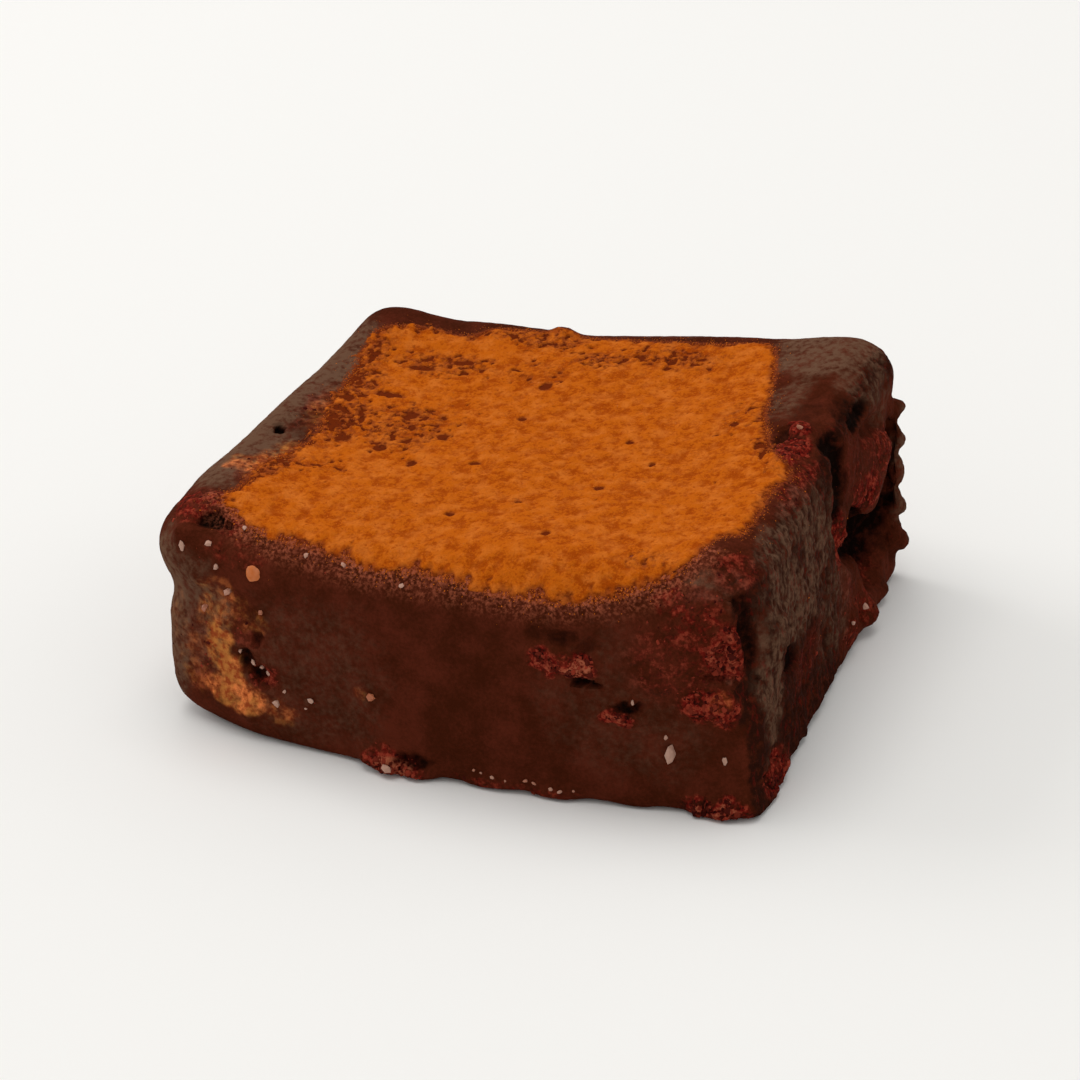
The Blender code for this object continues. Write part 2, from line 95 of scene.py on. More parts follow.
# Patches where the powder is thin and fudge shows through: (x, y, half width, half depth, how thin).
THIN_PATCHES = (
    (-22.2, 0.5, 3.6, 5.5, 0.95),
    (-15.0, 0.3, 7.4, 7.0, 0.67),
    (-22.4, -5.0, 3.0, 2.2, 0.64),
    (-23.4, 8.0, 3.2, 6.0, 0.85),
    (-24.8, -11.5, 2.6, 5.0, 0.90),
    (-24.8, 15.0, 2.8, 4.5, 0.76),
    (-16.5, 15.0, 8.0, 3.2, 0.66),
    (-5.5, 15.0, 6.0, 3.0, 0.50),
    (-8.0, 22.4, 8.0, 2.6, 0.74),
    (0.5, 18.8, 5.0, 3.0, 0.68),
    (8.0, 20.4, 8.0, 3.4, 0.68),
    (-20.5, -9.5, 4.5, 3.2, 0.52),
    (19.5, 7.5, 3.4, 4.5, 0.50),
    (24.8, 1.6, 2.2, 3.4, 0.85),
    (26.6, -3.0, 1.6, 2.2, 0.50),
    (20.0, -22.2, 4.0, 1.7, 0.58),
)

# Small pits in the powder: (x, y, half width, half depth).
POWDER_PITS = (
    (-15.3, 3.1, 1.1, 1.7),
    (-10.1, -0.7, 0.9, 1.1),
    (-15.8, -4.2, 1.0, 1.0),
    (-20.5, -3.2, 1.3, 1.3),
    (-11.2, -6.9, 0.8, 0.9),
    (-19.4, 7.1, 2.2, 0.8),
    (-18.5, 14.0, 2.2, 0.8),
    (-14.3, 15.9, 2.2, 0.7),
    (-4.5, -6.0, 0.9, 0.6),
    (-3.3, 4.8, 0.6, 0.7),
    (-3.4, 12.2, 0.9, 1.2),
    (9.9, -8.4, 0.8, 0.7),
    (19.8, 5.6, 0.7, 0.7),
    (13.6, -2.6, 0.5, 0.7),
    (9.8, 1.4, 0.6, 0.6),
    (-2.8, -17.0, 0.7, 0.6),
    (8.4, -19.5, 0.6, 0.6),
    (3.0, -13.0, 0.6, 0.5),
)

# Noise that frays the rim, wears holes in the powder, and frays the band of loose grains round it:
# (height, size, seed) of each layer.
RIM_FRAYS = ((0.45, 2.6, 41), (0.50, 1.1, 42), (0.35, 0.55, 43))
HOLE_NOISE = ((0.70, 1.1, 44), (0.70, 0.6, 45))
GRAIN_FRAYS = ((0.5, (0.9, 3.0, 3.0), 61), (0.4, 1.2, 62))

# In front of this Y the top rolls over into the front face, and powder runs a little way down it.
FRONT_ROLL_Y = -20

# The sheet of powder: the gap between its points, and how far past the rim it reaches.
SHEET_STEP = 0.21
SHEET_REACH = 2.4
# It is dropped onto the fudge from this height, wherever the surface faces up at least this much.
SHEET_START_HEIGHT = 60
LEAST_NORMAL_Z = 0.2
# How thick it is where it lies whole, how far it stands off the fudge at least, and how deep it dips
# under bare fudge.
SHEET_THICKNESS = 0.16
SHEET_LEAST_LIFT = 0.03
SHEET_DIP = 0.22

# The loose grains: half widths of the smallest and largest, how far each strays to the side, and how
# deep it sits against its half width.
GRAINS_ON_TOP = 12000
GRAINS_ON_RIM = 7000
GRAIN_SIZES = (0.045, 0.10)
GRAIN_STRAY = 0.12
GRAIN_SINK = 0.25

# ---------------------------------------------------------------- the fudge

# Points of the solid that lie closer than this are joined.
WELD_GAP = 0.01
# The gap between the points of the skin.
SKIN_STEP = 0.38
# Faces of the skin that lie below this height and look straight down are its base.
BASE_HEIGHT = 0.3
BASE_NORMAL_Z = -0.99

# Relief of the skin. Crumb and wrinkles are pressed in by their sink and stand out from there.
CRUMB_HEIGHT = 0.90
CRUMB_SINK = 0.50
WRINKLE_HEIGHT = 0.60
WRINKLE_RIDGE = 0.22
WRINKLE_SINK = 0.40
SHADE_DEPTH = 0.85
PIT_DEPTH = 0.12
PIT_SPACING = 2.4
WAVE_HEIGHT = 0.07
RIPPLE_HEIGHT = 0.03

# Zones of rough, reddish crumb: (centre, radii, strength).
CRUMBLY_ZONES = (
    # The chunk, the flake and the broken patch on the front.
    ((11.5, -28.5, 15.7), (2.1, 2.2, 1.6), 0.9),
    ((14.4, -28.4, 15.5), (2.1, 2.2, 1.8), 1.0),
    ((18.2, -28.1, 10.2), (2.3, 2.0, 0.9), 0.9),
    ((27.2, -26.6, 12.4), (2.9, 2.2, 2.0), 0.85),
    # The rough corner above the patch.
    ((28.4, -25.4, 17.6), (1.9, 2.6, 2.8), 0.90),
    ((26.4, -25.4, 19.8), (3.4, 2.4, 3.0), 0.48),
    ((24.6, -24.6, 22.6), (4.4, 2.4, 1.6), 0.46),
    ((28.6, -22.0, 24.6), (2.4, 3.6, 2.2), 0.50),
    ((24.2, -27.0, 16.8), (6.0, 2.2, 5.0), 0.40),
    # The foot of the front.
    ((-5.6, -29.2, 1.2), (3.4, 2.0, 1.9), 1.0),
    ((8.0, -28.9, 0.7), (9.5, 1.8, 0.8), 0.42),
    ((28.0, -27.3, 0.9), (4.0, 2.6, 1.6), 0.95),
    ((32.0, -20.6, 2.2), (1.6, 3.4, 2.2), 0.8),
    # The torn right face.
    ((32.4, 18.4, 19.6), (2.2, 4.6, 3.0), 0.48),
    ((32.0, 12.4, 17.2), (2.0, 3.6, 2.6), 0.74),
    ((32.6, 15.4, 22.6), (2.0, 5.0, 2.6), 0.40),
    ((31.8, 10.5, 21.6), (2.2, 4.6, 4.2), 0.30),
    ((31.2, 4.8, 15.4), (1.6, 2.0, 4.6), 0.70),
    ((31.8, 6.0, 8.0), (1.6, 5.0, 3.0), 0.36),
    ((29.0, 17.0, 6.0), (4.0, 6.0, 3.4), 0.5),
    ((31.9, 9.6, 3.4), (1.6, 6.0, 2.6), 0.45),
    ((31.9, -8.0, 9.0), (1.4, 7.0, 3.0), 0.35),
    # The specks on the top's right margin and the lump behind them.
    ((27.4, 0.6, 27.0), (2.0, 3.4, 1.4), 0.8),
    ((27.1, 4.6, 27.9), (1.5, 1.6, 1.3), 0.75),
    ((29.6, -5.0, 25.8), (1.6, 7.0, 1.6), 0.5),
    # The front left corner.
    ((-28.6, -21.6, 23.8), (3.4, 2.8, 1.8), 0.58),
    ((-24.4, -23.6, 23.0), (2.4, 1.6, 1.4), 0.45),
    ((-20.0, -26.9, 8.0), (2.0, 1.4, 1.8), 0.55),
    ((-28.6, -25.6, 9.0), (3.4, 2.4, 6.0), 0.36),
    ((-21.4, -26.4, 12.6), (2.4, 2.0, 2.4), 0.34),
    ((-22.0, -25.6, 21.0), (5.0, 2.0, 1.6), 0.34),
    ((-26.0, 0.5, 25.4), (1.6, 7.5, 1.6), 0.55),
    ((-27.0, -13.5, 24.4), (1.4, 4.0, 1.4), 0.45),
    # The faces at the left and the back.
    ((-32.0, -10.0, 7.0), (2.0, 2.4, 2.2), 0.55),
    ((-32.0, 4.5, 17.5), (2.0, 3.4, 2.0), 0.6),
    ((-32.0, 14.0, 3.4), (2.0, 4.0, 2.2), 0.6),
    ((-11.0, 28.0, 8.8), (3.4, 2.0, 2.4), 0.65),
    ((9.0, 28.0, 16.0), (2.8, 2.0, 2.2), 0.6),
    ((15.0, 28.0, 3.2), (3.6, 2.0, 2.0), 0.65),
)

# Greyish places on the bare fudge, partly fat bloom and partly painted sheen, a glancing reflection of
# bright surroundings: (centre, radii, strength).
BLOOM_AND_SHEEN_ZONES = (
    # The left bevel and the left end.
    ((-28.8, -6.8, 24.4), (4.4, 14.2, 2.8), 1.0),
    ((-28.4, 10.0, 25.0), (3.8, 12.0, 2.6), 1.0),
    ((-30.8, -24.4, 13.0), (2.8, 3.2, 9.5), 1.0),
    ((-30.6, -25.0, 20.4), (1.8, 2.4, 2.6), 0.35),
    ((-27.4, -26.0, 13.0), (4.6, 2.5, 8.0), 0.66),
    ((-32.6, 2.0, 13.0), (3.0, 24.0, 9.0), 0.50),
    # The front face and its right corner.
    ((-15.0, -27.5, 9.5), (12.0, 2.8, 10.0), 0.34),
    ((20.0, -27.6, 12.0), (12.0, 2.8, 10.0), 0.30),
    ((27.2, -22.8, 23.4), (3.6, 3.0, 2.2), 0.60),
    ((28.8, -25.1, 15.2), (1.1, 1.4, 0.9), 0.80),
    # The back right corner and the rim over the hollow.
    ((25.0, 21.6, 28.4), (6.6, 6.4, 2.6), 0.85),
    ((30.0, 18.0, 26.6), (3.0, 7.0, 2.8), 0.58),
    ((23.6, 11.5, 27.4), (2.6, 5.0, 1.8), 0.55),
    # The ridge and the face at the right.
    ((30.4, -11.0, 24.8), (2.0, 10.0, 2.6), 0.80),
    ((31.6, -10.0, 19.0), (2.2, 12.5, 7.5), 0.80),
    ((31.4, -20.6, 12.0), (2.0, 3.4, 8.8), 0.92),
    ((31.8, 1.0, 9.0), (1.8, 8.0, 6.0), 0.60),
    ((31.4, 19.6, 23.4), (2.0, 4.6, 2.6), 0.45),
    # The beaded edge.
    ((32.8, 26.0, 13.5), (1.8, 2.2, 9.5), 0.85),
    # The back.
    ((0.0, 27.4, 25.8), (26.0, 2.4, 2.0), 0.35),
    ((0.0, 28.6, 13.0), (24.0, 2.4, 9.0), 0.25),
)

# Smears of powder on the bare fudge: (centre, radii, strength).
SMEARS = (
    ((-25.9, -25.9, 14.2), (1.8, 2.0, 2.4), 0.45),
    ((-25.1, -26.2, 10.8), (1.7, 2.0, 3.0), 0.85),
    ((-23.9, -26.5, 7.6), (1.5, 2.0, 2.6), 1.00),
    ((-22.6, -26.7, 4.8), (2.8, 2.0, 2.0), 1.00),
    ((-25.4, -26.3, 5.6), (1.8, 2.0, 1.8), 0.60),
    ((-22.8, -26.5, 15.0), (2.4, 2.0, 2.6), 0.38),
    ((-20.2, -26.9, 14.2), (1.6, 2.0, 1.4), 0.34),
    ((-24.8, -26.0, 17.0), (2.8, 2.0, 2.2), 0.30),
    ((-18.6, -27.0, 4.2), (2.4, 2.0, 1.6), 0.36),
    ((-28.4, -25.6, 8.0), (2.2, 2.0, 4.6), 0.30),
    ((-30.4, -24.9, 12.5), (1.8, 2.0, 4.0), 0.22),
    ((-27.8, -12.7, 24.5), (1.8, 2.0, 1.4), 0.50),
    ((-24.6, -11.5, 24.0), (2.4, 5.5, 1.6), 0.60),
    ((-24.8, 1.5, 25.4), (2.0, 8.0, 1.6), 0.40),
    ((-8.6, -28.2, 8.8), (1.2, 1.4, 1.0), 0.30),
    ((28.3, -26.4, 12.8), (1.4, 1.6, 1.4), 0.34),
)

# Places where hardly any light reaches, which are also pressed in a little: (centre, radii, strength).
SHADED_ZONES = (
    # The torn hollow and the gaps round the flake.
    ((29.2, 18.6, 9.0), (3.4, 6.4, 5.0), 1.0),
    ((29.6, 10.6, 13.0), (2.0, 4.4, 4.0), 0.9),
    ((30.4, 22.8, 13.6), (2.6, 1.9, 8.5), 1.0),
    ((30.2, 4.8, 25.6), (1.6, 2.2, 2.0), 0.95),
    ((31.0, 5.0, 22.2), (1.8, 2.3, 3.4), 1.00),
    ((31.1, 4.0, 19.6), (1.4, 1.6, 3.0), 0.95),
    ((31.0, 12.6, 25.6), (1.8, 3.4, 1.2), 0.95),
    ((31.8, 11.0, 21.0), (2.4, 6.0, 5.0), 0.26),
    ((29.8, 11.6, 26.9), (2.2, 2.6, 1.2), 0.50),
    # The groove at the front right edge.
    ((29.3, -23.0, 22.0), (0.7, 1.0, 1.5), 0.52),
    ((29.7, -22.9, 19.6), (0.7, 1.1, 2.4), 0.60),
    ((30.0, -22.5, 17.0), (0.7, 1.1, 2.0), 0.60),
    ((30.5, -23.0, 14.0), (0.6, 1.0, 2.2), 0.36),
    # Above and below the chunk, and behind the flake, on the front.
    ((10.4, -28.2, 18.6), (1.6, 1.4, 0.8), 0.34),
    ((12.9, -28.2, 18.3), (1.8, 1.4, 0.9), 0.48),
    ((15.4, -28.2, 17.7), (1.3, 1.4, 0.8), 0.44),
    ((15.0, -28.3, 13.7), (1.8, 1.2, 0.5), 0.85),
    ((19.4, -28.0, 11.6), (1.7, 1.2, 0.5), 0.80),
    ((27.4, -25.7, 15.3), (1.4, 1.4, 0.5), 0.48),
    # The crevice, the pits and the foot crumb at the left.
    ((-20.4, -26.8, 12.3), (0.7, 0.9, 1.0), 0.60),
    ((-22.0, -26.6, 9.8), (0.8, 1.0, 1.1), 0.76),
    ((-20.8, -26.6, 8.1), (0.9, 1.0, 0.7), 0.76),
    ((-26.0, -23.7, 23.5), (1.5, 1.1, 1.0), 1.0),
    ((-24.1, -23.9, 23.3), (0.5, 0.5, 0.5), 0.8),
    ((-27.4, -3.9, 24.1), (0.5, 0.8, 0.7), 1.0),
    ((-25.6, -3.6, 24.8), (1.8, 2.6, 1.2), 0.30),
    ((-3.4, -28.8, 2.0), (2.2, 1.0, 0.7), 0.70),
    # The pit under the bulge on the right face, and the lee of the lumps on the top's right margin.
    ((31.6, -14.2, 11.6), (1.0, 1.8, 1.4), 0.85),
    ((25.6, 3.4, 27.2), (0.8, 1.6, 0.8), 0.60),
    ((26.6, 9.0, 27.6), (1.6, 4.0, 1.2), 0.32),
    # The beaded edge.
    ((32.3, 25.8, 13.0), (2.2, 2.6, 9.5), 0.20),
)

# Round lumps down the far right edge: (centre, radii, how far each swells).
EDGE_BEADS = (
    ((32.2, 25.8, 20.9), (2.2, 2.6, 1.75), 0.28),
    ((32.3, 25.8, 17.3), (2.2, 2.6, 1.50), 0.50),
    ((32.4, 25.8, 13.2), (2.2, 2.6, 1.65), 0.64),
    ((32.5, 25.8, 9.3), (2.2, 2.6, 1.55), 0.46),
    ((32.6, 25.8, 5.3), (2.2, 2.6, 1.95), 0.74),
)

# The strip of edge that carries them, which is drawn in: (centre, radii, how far).
BEADED_EDGE = (((32.3, 26.0, 12.5), (2.4, 2.8, 10.5), 0.30),)

# Sugar crystals and stuck specks: (place, half width, how tall against its width, tone). The tone runs
# from 0 for pale to 1 for orange.
CRYSTALS = (
    ((-28.5, -25.7, 21.2), 0.30, 1.7, 0.15),
    ((-25.6, -25.5, 21.7), 0.36, 1.0, 0.20),
    ((-24.5, -26.4, 19.8), 0.36, 1.2, 0.15),
    ((-23.3, -26.4, 17.2), 0.58, 1.1, 0.35),
    ((-26.6, -25.6, 14.4), 0.42, 1.2, 0.75),
    ((-19.7, -27.0, 15.6), 0.28, 1.0, 0.80),
    ((-22.5, -26.7, 10.2), 0.30, 1.0, 0.20),
    ((-21.3, -26.5, 9.3), 0.32, 1.3, 0.10),
    ((-20.4, -26.4, 8.7), 0.28, 1.0, 0.10),
    ((-19.6, -26.4, 8.3), 0.36, 1.0, 0.10),
    ((-18.7, -27.2, 5.3), 0.34, 1.0, 0.10),
    ((-14.6, -27.6, 6.5), 0.34, 1.0, 0.05),
    ((-17.7, -27.0, 6.8), 0.20, 1.0, 0.10),
    ((-15.3, -27.5, 5.4), 0.18, 1.0, 0.10),
    ((-7.6, -28.2, 8.5), 0.40, 1.0, 0.95),
    ((23.3, -26.9, 6.7), 0.66, 1.6, 0.10),
    ((22.9, -27.0, 8.4), 0.20, 1.4, 0.20),
    ((28.6, -26.1, 6.3), 0.20, 1.8, 0.15),
    ((19.9, -28.0, 12.1), 0.22, 1.0, 0.10),
    # The pale speck on the lump at the top's right margin is partly a painted highlight of that lump.
    ((27.1, 3.9, 28.4), 0.28, 1.0, 0.60),
    ((-5.9, -29.4, 1.2), 0.50, 0.9, 0.25),
    ((32.2, 6.5, 4.7), 0.36, 1.0, 0.20),
    ((32.1, 11.8, 3.8), 0.30, 1.0, 0.25),
    ((3.2, -28.7, 2.2), 0.20, 0.9, 0.60),
    ((4.0, -28.6, 2.0), 0.16, 0.9, 0.40),
    ((5.2, -28.6, 1.7), 0.25, 0.8, 0.30),
    ((6.5, -28.5, 1.5), 0.18, 0.9, 0.55),
    ((8.6, -28.3, 1.8), 0.28, 0.8, 0.70),
    ((9.5, -28.4, 1.6), 0.20, 0.9, 0.60),
    ((11.3, -28.4, 1.3), 0.22, 0.9, 0.35),
    ((12.2, -28.4, 1.2), 0.26, 0.8, 0.30),
    ((13.6, -28.3, 1.4), 0.18, 0.9, 0.55),
    ((-22.2, -24.0, 23.3), 0.24, 1.0, 0.20),
    ((-14.8, -25.6, 22.0), 0.26, 1.0, 0.25),
    ((-10.6, -26.0, 21.8), 0.30, 1.0, 0.25),
    ((-4.0, -27.0, 21.0), 0.24, 0.8, 0.15),
    ((-32.4, 6.0, 9.0), 0.34, 1.0, 0.10),
    ((-32.2, 12.5, 15.0), 0.28, 1.0, 0.15),
    ((4.0, 28.4, 11.0), 0.40, 1.2, 0.10),
    ((-14.0, 28.2, 17.0), 0.30, 1.0, 0.20),
)

# The round spot of powder on the front left corner: its place, its radius and how far it stands out.
SPOT_PLACE = (-20.3, -26.9, 19.8)
SPOT_RADIUS = 0.82
SPOT_HEIGHT = 0.3

# The loose crumbs: half widths of the smallest and largest, and how deep each sits against that.
CRUMB_COUNT = 1200
CRUMB_SIZES = (0.14, 0.42)
CRUMB_BURIED = 0.40

# How far a crystal's middle stands off the skin against its half width.
CRYSTAL_RAISED = 0.25

# How much the corners of a speck stray in and out, how much it is stretched each way, and the lowest it
# reaches, so that none goes through the floor.
SPECK_UNEVENNESS = 0.32
SPECK_STRETCH = (0.65, 1.35)
SPECK_LOWEST = 0.02

NOISE_LAYERS = 3


# ---------------------------------------------------------------- noise and shaping


def hashed(cells, seed):
    """A number from 0 to 1 for each whole-numbered cell."""
    whole = cells.astype(np.int64).astype(np.uint32)
    mixed = whole[..., 0] * np.uint32(374761393) + whole[..., 1] * np.uint32(668265263)
    mixed = mixed + whole[..., 2] * np.uint32(2246822519) + np.uint32(seed * 3266489917 % 2**32)
    mixed = (mixed ^ (mixed >> np.uint32(15))) * np.uint32(2246822519)
    mixed = (mixed ^ (mixed >> np.uint32(13))) * np.uint32(3266489917)
    return (mixed ^ (mixed >> np.uint32(16))) / 2**32


def noise(points, size, seed):
    """Smooth noise from about -1 to 1. The size of its features may differ along each axis."""
    scaled = points / np.asarray(size, float)
    cell = np.floor(scaled)
    inside = scaled - cell
    fade = inside**3 * (inside * (inside * 6 - 15) + 10)
    total = np.zeros(len(points))
    for corner in np.ndindex(2, 2, 2):
        slope = np.stack([hashed(cell + corner, seed + axis) * 2 - 1 for axis in range(3)], axis=-1)
        weight = np.prod(np.where(corner, fade, 1 - fade), axis=-1)
        total += weight * ((inside - corner) * slope).sum(-1)
    return total * 1.7


def layered(points, size, seed):
    """Noise on noise: each layer is half the size and half the height of the one before."""
    size = np.asarray(size, float)
    total = np.zeros(len(points))
    for layer in range(NOISE_LAYERS):
        total += noise(points, size / 2**layer, seed + 7 * layer) / 2**layer
    return total / (2 - 2.0 ** (1 - NOISE_LAYERS))


def summed(points, parts):
    """Several noises added up: (height, size, seed) for each."""
    return sum(height * noise(points, size, seed) for height, size, seed in parts)


def cobbles(points, size, seed):
    """Rounded grains packed side by side: 1 at the middle of each and about 0 between them."""
    scaled = points / np.asarray(size, float)
    cell = np.floor(scaled)
    nearest = np.full(len(points), 9.0)
    for step in np.ndindex(3, 3, 3):
        near = cell + np.array(step) - 1
        middle = near + np.stack([hashed(near, seed + axis) for axis in range(3)], axis=-1)
        nearest = np.minimum(nearest, ((scaled - middle) ** 2).sum(-1))
    return 1 - np.clip(nearest, 0, 1)


def ramp(value, low, high):
    """0 at low, 1 at high, and smooth between them."""
    share = np.clip((value - low) / (high - low), 0, 1)
    return share * share * (3 - 2 * share)


def zones(points, places):
    """The strongest of the zones at each point, fading out smoothly past its radii."""
    strongest = np.zeros(len(points))
    for centre, radii, strength in places:
        distance = np.sqrt((((points - centre) / radii) ** 2).sum(-1))
        strongest = np.maximum(strongest, strength * (1 - ramp(distance, 0.6, 1.35)))
    return strongest


def strayed(points, far, size, seed):
    """Points moved aside by smooth noise, which gives the zones read there ragged edges."""
    drift = np.stack([noise(points, size, seed + 31 * axis) for axis in range(3)], axis=-1)
    return points + far * drift


def domes(points, places):
    """The highest of the round swellings at each point, which is 0 past their radii."""
    highest = np.zeros(len(points))
    for centre, radii, height in places:
        distance = (((points - centre) / radii) ** 2).sum(-1)
        highest = np.maximum(highest, height * np.sqrt(np.clip(1 - distance, 0, 1)))
    return highest


def smooth_loop(corners, steps=8):
    """A closed curve through the corners."""
    corners = np.array(corners, float)
    before, after, later = (np.roll(corners, shift, axis=0) for shift in (1, -1, -2))
    curve = []
    for share in np.arange(steps) / steps:
        curve.append(
            corners
            + 0.5 * share * (after - before)
            + share**2 * (before - 2.5 * corners + 2 * after - 0.5 * later)
            + share**3 * (1.5 * (corners - after) + 0.5 * (later - before))
        )
    return np.stack(curve, axis=1).reshape(-1, 2)


def depth_inside(places, loop):
    """How far each place lies inside the loop, and below 0 outside it."""
    nearest = np.full(len(places), np.inf)
    inside = np.zeros(len(places), bool)
    for start, end in zip(loop, np.roll(loop, -1, axis=0)):
        along = end - start
        share = np.clip(((places - start) @ along) / (along @ along), 0, 1)
        gap = places - start - share[:, None] * along
        nearest = np.minimum(nearest, np.hypot(gap[:, 0], gap[:, 1]))
        crosses = (start[1] > places[:, 1]) != (end[1] > places[:, 1])
        rise = end[1] - start[1] or 1e-9
        inside ^= crosses & (places[:, 0] < start[0] + (places[:, 1] - start[1]) * along[0] / rise)
    return np.where(inside, nearest, -nearest)


RIM_LOOP = smooth_loop(POWDER_RIM)


def powder_depth(points):
    """How far inside the powder's rim a point is, and below 0 outside it, also down the front face."""
    depth = depth_inside(points[:, :2], RIM_LOOP)
    heights = np.array(FRONT_RIM_HEIGHT)
    drop = np.interp(points[:, 0], heights[:, 0], heights[:, 1]) - points[:, 2]
    down_front = (points[:, 1] < FRONT_ROLL_Y) & (drop > 0) & (depth < 0)
    return np.where(down_front, -np.hypot(depth, drop), depth)


# ---------------------------------------------------------------- meshes


def new_object(name, data):
    """An object of that mesh, light or camera, in the scene."""
    made = bpy.data.objects.new(name, data)
    bpy.context.scene.collection.objects.link(made)
    return made


def mesh_from(name, points, faces):
    """A smooth mesh from points in mm and faces that all have the same number of corners."""
    mesh = bpy.data.meshes.new(name)
    mesh.from_pydata((points * MM).tolist(), [], faces.tolist())
    mesh.update()
    mesh.shade_smooth()
    return mesh


def points_of(mesh):
    """The places of the vertices, in mm."""
    values = np.empty(len(mesh.vertices) * 3)
    mesh.vertices.foreach_get("co", values)
    return values.reshape(-1, 3) / MM


def normals_of(mesh):
    """The normals at the vertices."""
    values = np.empty(len(mesh.vertices) * 3)
    mesh.vertex_normals.foreach_get("vector", values)
    return values.reshape(-1, 3)


def set_points(mesh, points):
    """Moves the vertices to places in mm."""
    mesh.vertices.foreach_set("co", (points * MM).ravel())
    mesh.update()


def paint(mesh, name, values):
    """Stores a number for each vertex, for the materials to read."""
    layer = mesh.attributes.new(name, "FLOAT", "POINT")
    layer.data.foreach_set("value", np.asarray(values, np.float32))


def apply_modifiers(target):
    """Turns the shape that the modifiers give into the object's own mesh."""
    graph = bpy.context.evaluated_depsgraph_get()
    result = bpy.data.meshes.new_from_object(target.evaluated_get(graph))
    target.modifiers.clear()
    target.data = result


def tree_of(mesh):
    """The surface in mm, for finding the nearest point of it or where a ray meets it."""
    return BVHTree.FromPolygons(
        [vertex.co / MM for vertex in mesh.vertices],
        [polygon.vertices for polygon in mesh.polygons],
    )


# ---------------------------------------------------------------- the fudge skin


def fine_skin():
    """The solid's own surface as an even, fine mesh with its base left flat and unsplit."""
    mesh = bmesh.new()
    mesh.from_mesh(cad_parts["brownie"].data)
    bmesh.ops.remove_doubles(mesh, verts=mesh.verts, dist=WELD_GAP * MM)
    data = bpy.data.meshes.new("fudge")
    mesh.to_mesh(data)
    mesh.free()
    skin = new_object("fudge", data)
    rounder = skin.modifiers.new("rounder", "SUBSURF")
    rounder.levels = 1
    rounder.render_levels = 1
    remesh = skin.modifiers.new("remesh", "REMESH")
    remesh.mode = "VOXEL"
    remesh.voxel_size = SKIN_STEP * MM
    smooth = skin.modifiers.new("smooth", "SMOOTH")
    smooth.iterations = 3
    apply_modifiers(skin)
    mesh = bmesh.new()
    mesh.from_mesh(skin.data)
    facing_down = [face for face in mesh.faces if face.normal.z < BASE_NORMAL_Z]
    base = [face for face in facing_down if face.calc_center_median().z < BASE_HEIGHT * MM]
    bmesh.ops.delete(mesh, geom=base, context="FACES")
    rim = [edge for edge in mesh.edges if edge.is_boundary]
    for vertex in {vertex for edge in rim for vertex in edge.verts}:
        vertex.co.z = 0
    bmesh.ops.edgeloop_fill(mesh, edges=rim)
    mesh.to_mesh(skin.data)
    mesh.free()
    return skin


def lumps(points, size, seed):
    """Uneven crumb lumps of two sizes, from 0 in the gaps to 1 on the crowns."""
    size = np.asarray(size, float)
    aside = points + 0.35 * size * noise(points, size * 1.4, seed)[:, None]
    return 0.65 * cobbles(aside, size, seed + 1) + 0.35 * cobbles(aside, size * 0.55, seed + 2)


